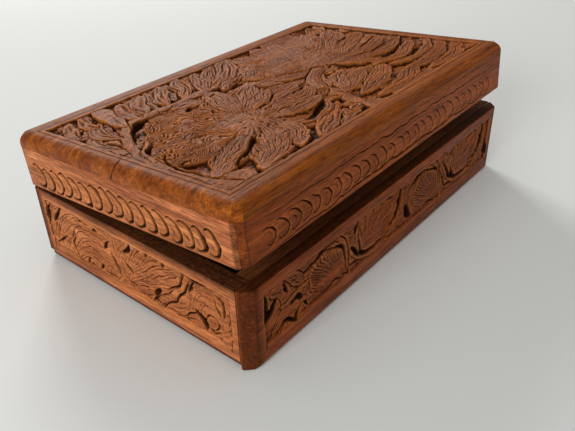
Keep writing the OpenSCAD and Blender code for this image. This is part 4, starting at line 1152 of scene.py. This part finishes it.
top_wood = wood("oiled wood, top board", (0.37, 0.100, 0.010), (0.16, 0.036, 0.004))
# The long rails and the sliding face are darker than the ends, partly their own redder tone and partly
# painted shade for the front side, which faces away from the key lamp.
rail_wood_with_painted_shade = wood("oiled wood with painted shade, long rails", (0.43, 0.100, 0.020), (0.22, 0.046, 0.011),
                 shift=(9, 31, 4))
end_rail_wood = wood("oiled wood, short rails", (0.60, 0.215, 0.078), (0.35, 0.105, 0.038), "Y",
                     shift=(5, 3, 17))
face_wood_with_painted_shade = wood("oiled wood with painted shade, sliding face", (0.34, 0.078, 0.017), (0.18, 0.036, 0.009),
                 shift=(40, 7, 9))
end_wood = wood("oiled wood, ends", (0.58, 0.205, 0.072), (0.34, 0.100, 0.034), "Y",
                shift=(12, 4, 8))
back_wood = wood("oiled wood, back", (0.26, 0.07, 0.018), (0.14, 0.036, 0.01), shift=(70, 2, 9))
inner_wood = wood("bare wood, inside", (0.24, 0.09, 0.03), (0.15, 0.05, 0.018), gloss=0.6,
                  shift=(3, 9, 40))
bottom_wood = wood("dark wood, sliding bottom", (0.10, 0.03, 0.016), (0.05, 0.015, 0.010),
                   gloss=0.5, shift=(8, 80, 1))

# %% Metal
def metal(name, bright, dull, rough, scale):
    """Old sheet or drawn metal: tarnish in clouds, with fine scratches mostly one way."""
    material = bpy.data.materials.new(name)
    material.use_nodes = True
    tree = material.node_tree
    shader = tree.nodes["Principled BSDF"]
    place = in_millimetres(tree)
    clouds = spread(tree, noise(tree, place, (scale, scale, scale), detail=6), 0.35, 0.65)
    scratches = noise(tree, place, (0.5, 6, 3), detail=3, distortion=0.4)
    feed(tree, shader.inputs["Base Color"], mix(tree, clouds, (*bright, 1), (*dull, 1)))
    shader.inputs["Metallic"].default_value = 1.0
    uneven = maths(tree, "MULTIPLY", clouds, 0.2)
    scratched = maths(tree, "ADD", maths(tree, "MULTIPLY", scratches, 0.15), rough - 0.1)
    feed(tree, shader.inputs["Roughness"], maths(tree, "ADD", uneven, scratched))
    roughen(tree, shader, scratches, 0.4, 0.05 * MM)
    return material


brass = metal("aged brass", (0.62, 0.43, 0.17), (0.28, 0.17, 0.07), 0.36, 0.35)
steel = metal("old steel", (0.42, 0.41, 0.40), (0.20, 0.17, 0.15), 0.4, 0.5)
print("materials:", ", ".join(m.name for m in bpy.data.materials))

# %% [markdown]
# ## Boards of the base
# Each side board is a block with its ends cut to the corner of the box, a pocket for the carving,
# and rubbed arrises. The face board is the front of the puzzle: it slides to the right, off the
# inner front board, and uncovers the keyhole. The ends stand between the front and back boards,
# so their ends are square and meet the others in a thin dark line.

# %% One object from several meshes
def numbers_of(mesh, name):
    """One number for each point of a mesh, or zeros where it has none of that name."""
    values = np.zeros(len(mesh.vertices), np.float32)
    if name in mesh.attributes:
        mesh.attributes[name].data.foreach_get("value", values)
    return values


def join(name, *parts):
    """One object that holds the closed shells of several, which go."""
    bm = bmesh.new()
    for part in parts:
        bm.from_mesh(part.data)
    mesh = bpy.data.meshes.new(name)
    bm.to_mesh(mesh)
    bm.free()
    for number in ("dirt_and_shade", "wear_and_highlight"):
        if number in mesh.attributes:
            mesh.attributes.remove(mesh.attributes[number])
        set_numbers(mesh, number, np.concatenate([numbers_of(part.data, number) for part in parts]))
    for part in parts:
        bpy.data.meshes.remove(part.data)
    return bpy.data.objects.new(name, mesh)


THINNEST = 0.6  # wood left under the deepest cut


def carve_on(stand, low, high, step, depth, carve, mirrored=False):
    """Carves a field of a side, from its low corner to its high one, as a slab."""
    field = blank(high[0] - low[0], high[1] - low[1], step, low[0], low[1])
    carve(field)
    if mirrored:
        for grid in ("z", "soot_and_shade"):
            field[grid] = field[grid][:, ::-1].copy()
    field["z"] = np.clip(field["z"], THINNEST - depth, 0)
    return carved_slab("carving", field, depth, stand, *dirt_shade_wear_and_highlight(field))

# %% Side boards
SIDE_STEP = 0.3
SIDE_POCKET = 4.0
ARRIS = 0.45
FOOT_BEVEL = 1.2
BOTTOM_TOP = 3.6
# The top edge of the base, in the gap under the lid, is darkened as grime and as painted shade from the
# lid.
RIM_GRIME_AND_SHADE = 0.75
CORNER_GRIME = 0.62


def outside_pocket(stand, low, high):
    """A test for edges that aren't part of a pocket."""
    to_side = stand.inverted()

    def in_pocket(vert):
        p = to_side @ vert.co
        return (low[0] - TOUCH < p.x < high[0] + TOUCH
                and low[1] - TOUCH < p.y < high[1] + TOUCH)

    return lambda edge: not all(in_pocket(v) for v in edge.verts)


def side_board(name, side, thick, u_span, foot, carve, mirrored=False):
    """A carved board of the base, as one object."""
    length = LENGTH if side in ("front", "back") else WIDTH
    stand = on_side(side)
    low = (SIDE_FIELD_MARGIN - 1, SIDE_FIELD_FOOT - 1)
    high = (length - low[0], SIDE_FIELD_HEAD + 1)
    v_lines = sorted({foot, BOTTOM_TOP, low[1], high[1], BASE_HEIGHT})
    block = board_block((u_span[0], low[0], high[0], u_span[1]), v_lines, thick, low, high, SIDE_POCKET,
                        lambda u, v: side == "back" and u > high[0] and v < BOTTOM_TOP)
    bmesh.ops.transform(block, matrix=stand, verts=block.verts[:])
    if foot == 0:
        outwards = stand.to_3x3() @ Vector((0, -1, 1))
        slice_off(block, stand @ Vector((0, 0, -FOOT_BEVEL)), outwards)
    cut_corners(block, BASE_CORNER)
    ease_arrises(block, ARRIS, outside_pocket(stand, low, high))
    darken_points(block, RIM_GRIME_AND_SHADE, lambda co: co.z > BASE_HEIGHT - 2 * TOUCH)
    darken_points(block, CORNER_GRIME, lambda co: on_corner_cut(co, BASE_CORNER))
    carving = carve_on(stand, low, high, SIDE_STEP, SIDE_POCKET, carve, mirrored)
    return join(name, object_from(name + "_block", block, Matrix.Identity(4)), carving)


def span_on(side, node):
    """How far a node of the solids reaches along a side, in that side's own u."""
    low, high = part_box(node)
    if side in ("left", "right"):
        ends = [low.y / MM, high.y / MM]
        return sorted(BACK - y if side == "left" else y - FRONT for y in ends)
    ends = [low.x / MM, high.x / MM]
    return sorted(RIGHT - x if side == "back" else x - LEFT for x in ends)


def foot_of(node):
    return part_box(node)[0].z / MM


face_piece = side_board("carved_face_board", "front", FACE_THICK, (0, LENGTH), 0, carve_long_base)
finish_piece(face_piece, "face", face_wood_with_painted_shade, "carved_wood", "face_board")
for node, side, board_wood, carve, mirrored in [
    ("left_end_board", "left", end_wood, carve_short_base, False),
    ("right_end_board", "right", end_wood, carve_short_base, True),
    ("back_board", "back", back_wood, carve_long_base, True),
]:
    span = span_on(side, node)
    board = side_board("carved_" + node, side, WALL_THICK, span, foot_of(node), carve, mirrored)
    finish_piece(board, "case", board_wood, "carved_wood", node)

# %% [markdown]
# ## The lid
# Four rails and a top board make the lid. The top board has its rim rounded right over, which
# catches the light all round, and a fine groove is scored round its sunk field. The rails meet in
# mitres, carry a row of scallops, and the back one is cut away for the hinge barrels. The lid
# stands ajar by a few degrees, so its pieces are built closed and then leaned about the hinge.

# %% Rails
RAIL_STEP = 0.3
RAIL_POCKET = 3.0
RAIL_MARGIN = 4.2
RAIL_FOOT = 0.6
RAIL_HEAD = 15.4
FRONT_RAIL_THICK = 11.5
LID_ARRIS = 0.7 * ARRIS
# The underside of the rails, over the gap, is darkened as grime and as painted shade.
LID_RIM_GRIME_AND_SHADE = 0.7
LID_CORNER_GRIME = 0.45
RAIL_THICK = {"front": FRONT_RAIL_THICK, "back": WALL_THICK, "left": WALL_THICK, "right": WALL_THICK}
NEXT_RAILS = {"front": ("left", "right"), "right": ("front", "back"), "back": ("right", "left"),
              "left": ("back", "front")}
HINGE_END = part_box("hinge_pins")[1].x / MM
HINGE_LENGTH = 25.0
MORTISE_AIR = 0.4
MORTISE_HEIGHT = 1.9
MORTISE_DEPTH = 1.8
SPARE_LINES = (-2, -1)  # grid lines under the back rail, so that its pocket can reach the foot


def hinge_mortises(panel):
    """Cuts room for the hinge barrels into the foot of the back rail."""
    from_middle = np.abs(panel["u"] - LENGTH / 2)
    beside_hinge = np.abs(from_middle - HINGE_END + HINGE_LENGTH / 2) < HINGE_LENGTH / 2 + MORTISE_AIR
    room = beside_hinge & (panel["v"] < MORTISE_HEIGHT)
    panel["z"][room] = -MORTISE_DEPTH


def carve_back_rail(panel):
    carve_long_rail(panel)
    hinge_mortises(panel)


def rail(name, side):
    """A rail of the lid with its scallops, mitred to its neighbours and leaned with the lid. The
    back one is carved down to its foot, because the hinges are let into it there."""
    thick = RAIL_THICK[side]
    length = LENGTH if side in ("front", "back") else WIDTH
    closed = on_side(side, LID_UNDER)
    hinged = side == "back"
    low = (RAIL_MARGIN, 0 if hinged else RAIL_FOOT)
    high = (length - RAIL_MARGIN, RAIL_HEAD)
    v_lines = (*(SPARE_LINES if hinged else (0, low[1])), high[1], RAIL_HEIGHT)
    block = board_block((0, low[0], high[0], length), v_lines, thick, low, high, RAIL_POCKET)
    if hinged:
        slice_off(block, Vector((0, 0, 0)), Vector((0, -1, 0)))
    for end, turn, neighbour in [(0, -1, NEXT_RAILS[side][0]), (length, 1, NEXT_RAILS[side][1])]:
        slice_off(block, Vector((end, 0, 0)), Vector((turn * thick, 0, -RAIL_THICK[neighbour])))
    bmesh.ops.transform(block, matrix=closed, verts=block.verts[:])
    cut_corners(block, LID_CORNER)
    ease_arrises(block, LID_ARRIS, outside_pocket(closed, low, high))
    darken_points(block, LID_RIM_GRIME_AND_SHADE, lambda co: co.z < LID_UNDER + 2 * TOUCH)
    darken_points(block, LID_CORNER_GRIME, lambda co: on_corner_cut(co, LID_CORNER))
    carve = {"front": carve_long_rail, "back": carve_back_rail}.get(side, carve_end_rail)
    carving = carve_on(lean_lid @ closed, low, high, RAIL_STEP, RAIL_POCKET, carve)
    return join(name, object_from(name + "_block", block, lean_lid), carving)


for side, rail_material in [("front", rail_wood_with_painted_shade), ("back", rail_wood_with_painted_shade), ("left", end_rail_wood),
                            ("right", end_rail_wood)]:
    finish_piece(rail(f"carved_{side}_rail", side), "lid", rail_material, "carved_wood",
                 f"lid_{side}_rail")

# %% A crack
def crack(bm, point, across, half_width, depth, cracked):
    """Opens a narrow V along a plane, in the part of a board that a test picks."""
    across = across.normalized()
    for aside in (-half_width, half_width, 0):
        bmesh.ops.bisect_plane(bm, geom=everything(bm), plane_co=point + aside * across,
                               plane_no=across, dist=1e-5)
    bm.normal_update()
    layer = dirt_and_shade_layer(bm)
    for vert in bm.verts:
        if abs((vert.co - point).dot(across)) < 1e-4 and cracked(vert.co):
            # The floor of the crack is made black, as grime and as painted shade.
            vert[layer] = 1.0
            vert.co -= depth * vert.normal

# %% Top board
LID_STEP = 0.28
LID_SLABS = 3
LID_POCKET = 4.6
LIP = 3.2
ROUNDING_STEPS = 9

top_stand = on_side("top", LID_TOP)
lid_low = (LID_FIELD[0][0] - LIP, LID_FIELD[0][1] - LIP)
lid_high = (LID_FIELD[1][0] + LIP, LID_FIELD[1][1] + LIP)
rim_board = board_block((0, lid_low[0], lid_high[0], LENGTH), (0, lid_low[1], lid_high[1], WIDTH),
                        TOP_THICK, lid_low, lid_high, LID_POCKET)
bmesh.ops.transform(rim_board, matrix=top_stand, verts=rim_board.verts[:])
cut_corners(rim_board, LID_CORNER)


def on_top_rim(edge):
    """The outer edge of the top, which is rounded right over."""
    return all(v.co.z > LID_TOP - TOUCH for v in edge.verts) and any(
        abs(f.normal.z) < 0.1 and f.calc_area() > 0 and not pocket_wall(f) for f in edge.link_faces)


def pocket_wall(face):
    centre = face.calc_center_median()
    return (LEFT + lid_low[0] - TOUCH < centre.x < LEFT + lid_high[0] + TOUCH
            and FRONT + lid_low[1] - TOUCH < centre.y < FRONT + lid_high[1] + TOUCH)


ease_arrises(rim_board, TOP_ROUNDING, on_top_rim, segments=ROUNDING_STEPS)
CRACK_PLACE = Vector((LEFT, FRONT + 60.0, LID_TOP))
CRACK_ACROSS = Vector((-0.36, 0.80, 0.42))
CRACK_HALF_WIDTH = 0.28
CRACK_DEPTH = 0.9
crack(rim_board, CRACK_PLACE, CRACK_ACROSS, CRACK_HALF_WIDTH, CRACK_DEPTH,
      lambda co: co.x < LEFT + lid_low[0] - 10 * TOUCH)
rim_piece = object_from("carved_lid_rim", rim_board, lean_lid, flat_limit=40)

field = blank(lid_high[0] - lid_low[0], lid_high[1] - lid_low[1], LID_STEP, *lid_low)
carve_lid(field)
field["z"] = np.clip(field["z"], THINNEST - LID_POCKET, 0)
dirt_and_shade, wear_and_highlight = dirt_shade_wear_and_highlight(field)
finish_piece(rim_piece, "lid", top_wood, "carved_wood", "lid_board")
cuts = np.linspace(0, field["z"].shape[1] - 1, LID_SLABS + 1).astype(int)
for number, (first, last) in enumerate(zip(cuts[:-1], cuts[1:]), 1):
    slab = carved_slab(f"carved_lid_field_{number}", part_of(field, first, last), LID_POCKET,
                       lean_lid @ top_stand, part_of(dirt_and_shade, first, last), part_of(wear_and_highlight, first, last))
    finish_piece(slab, "lid", top_wood, "carved_wood", "lid_board")

# %% [markdown]
# ## Pieces that keep their own shape
# The plain inner boards, the hinges, the lock and their screws and pins are already right in the
# solids, so they only take a finish.

# %% Finish the kept pieces
KEPT = {
    inner_wood: ["floor_board", "inner_front_board", "face_batten", "bottom_stop_peg", "batten_pins"],
    bottom_wood: ["sliding_bottom"],
    brass: ["keyhole_plate", "keyhole_pins", "case_hinge_leaves", "lid_hinge_leaves", "lock_cap",
            "lock_case", "lock_bolt", "strike_plate"],
    steel: ["key", "hinge_pins", "case_hinge_screws", "lid_hinge_screws", "lock_screws",
            "bolt_spring", "key_post", "strike_screws"],
}
for material, nodes in KEPT.items():
    for node in nodes:
        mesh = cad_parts[node].data
        mesh.materials.clear()
        mesh.materials.append(material)
print("kept:", sum(len(nodes) for nodes in KEPT.values()), "nodes")

# %% [markdown]
# ## Floor and light
# A pale floor fills the view. A large soft lamp stands low on the left, so that the end of the box
# is the brightest side, and a second one behind the box rakes across the lid, where each ridge of
# the carving catches it. A wide lamp overhead and a dim pale world fill the shadows.

# %% Floor
FLOOR_SIZE = 4.0
FLOOR_COLOUR = (0.77, 0.81, 0.82, 1)

floor_grid = bmesh.new()
bmesh.ops.create_grid(floor_grid, x_segments=8, y_segments=8, size=FLOOR_SIZE / 2)
floor_mesh = bpy.data.meshes.new("floor")
floor_grid.to_mesh(floor_mesh)
floor_grid.free()
floor = bpy.data.objects.new("floor", floor_mesh)
bpy.context.scene.collection.objects.link(floor)
floor_material = bpy.data.materials.new("pale floor")
floor_material.use_nodes = True
floor_shader = floor_material.node_tree.nodes["Principled BSDF"]
floor_shader.inputs["Base Color"].default_value = FLOOR_COLOUR
floor_shader.inputs["Roughness"].default_value = 0.9
floor_shader.inputs["Specular IOR Level"].default_value = 0.1
floor_mesh.materials.append(floor_material)

# %% Lamps
LAMP_TARGET = Vector((0, 0, 30))
SKY_COLOUR = (1.0, 0.93, 0.84, 1)
SKY_STRENGTH = 0.3


def lamp(name, place, size, power, colour):
    """A square soft lamp that faces the box; its place and size in millimetres."""
    data = bpy.data.lights.new(name, "AREA")
    data.size = size * MM
    data.energy = power
    data.color = colour
    obj = bpy.data.objects.new(name, data)
    place = Vector(place) * MM
    facing = (place - LAMP_TARGET * MM).to_track_quat("Z", "Y").to_matrix().to_4x4()
    obj.matrix_world = Matrix.Translation(place) @ facing
    bpy.context.scene.collection.objects.link(obj)


lamp("key lamp", (-1200, -150, 450), 600, 11.0, (1.0, 0.99, 0.97))
lamp("window lamp", (650, 1150, 750), 500, 12.0, (1.0, 0.97, 0.93))
lamp("overhead lamp", (0, 0, 1500), 1800, 4.2, (1.0, 0.98, 0.95))

world = bpy.context.scene.world or bpy.data.worlds.new("world")
bpy.context.scene.world = world
world.use_nodes = True
sky = world.node_tree.nodes["Background"]
sky.inputs["Color"].default_value = SKY_COLOUR
sky.inputs["Strength"].default_value = SKY_STRENGTH
bpy.context.scene.view_settings.view_transform = "Standard"
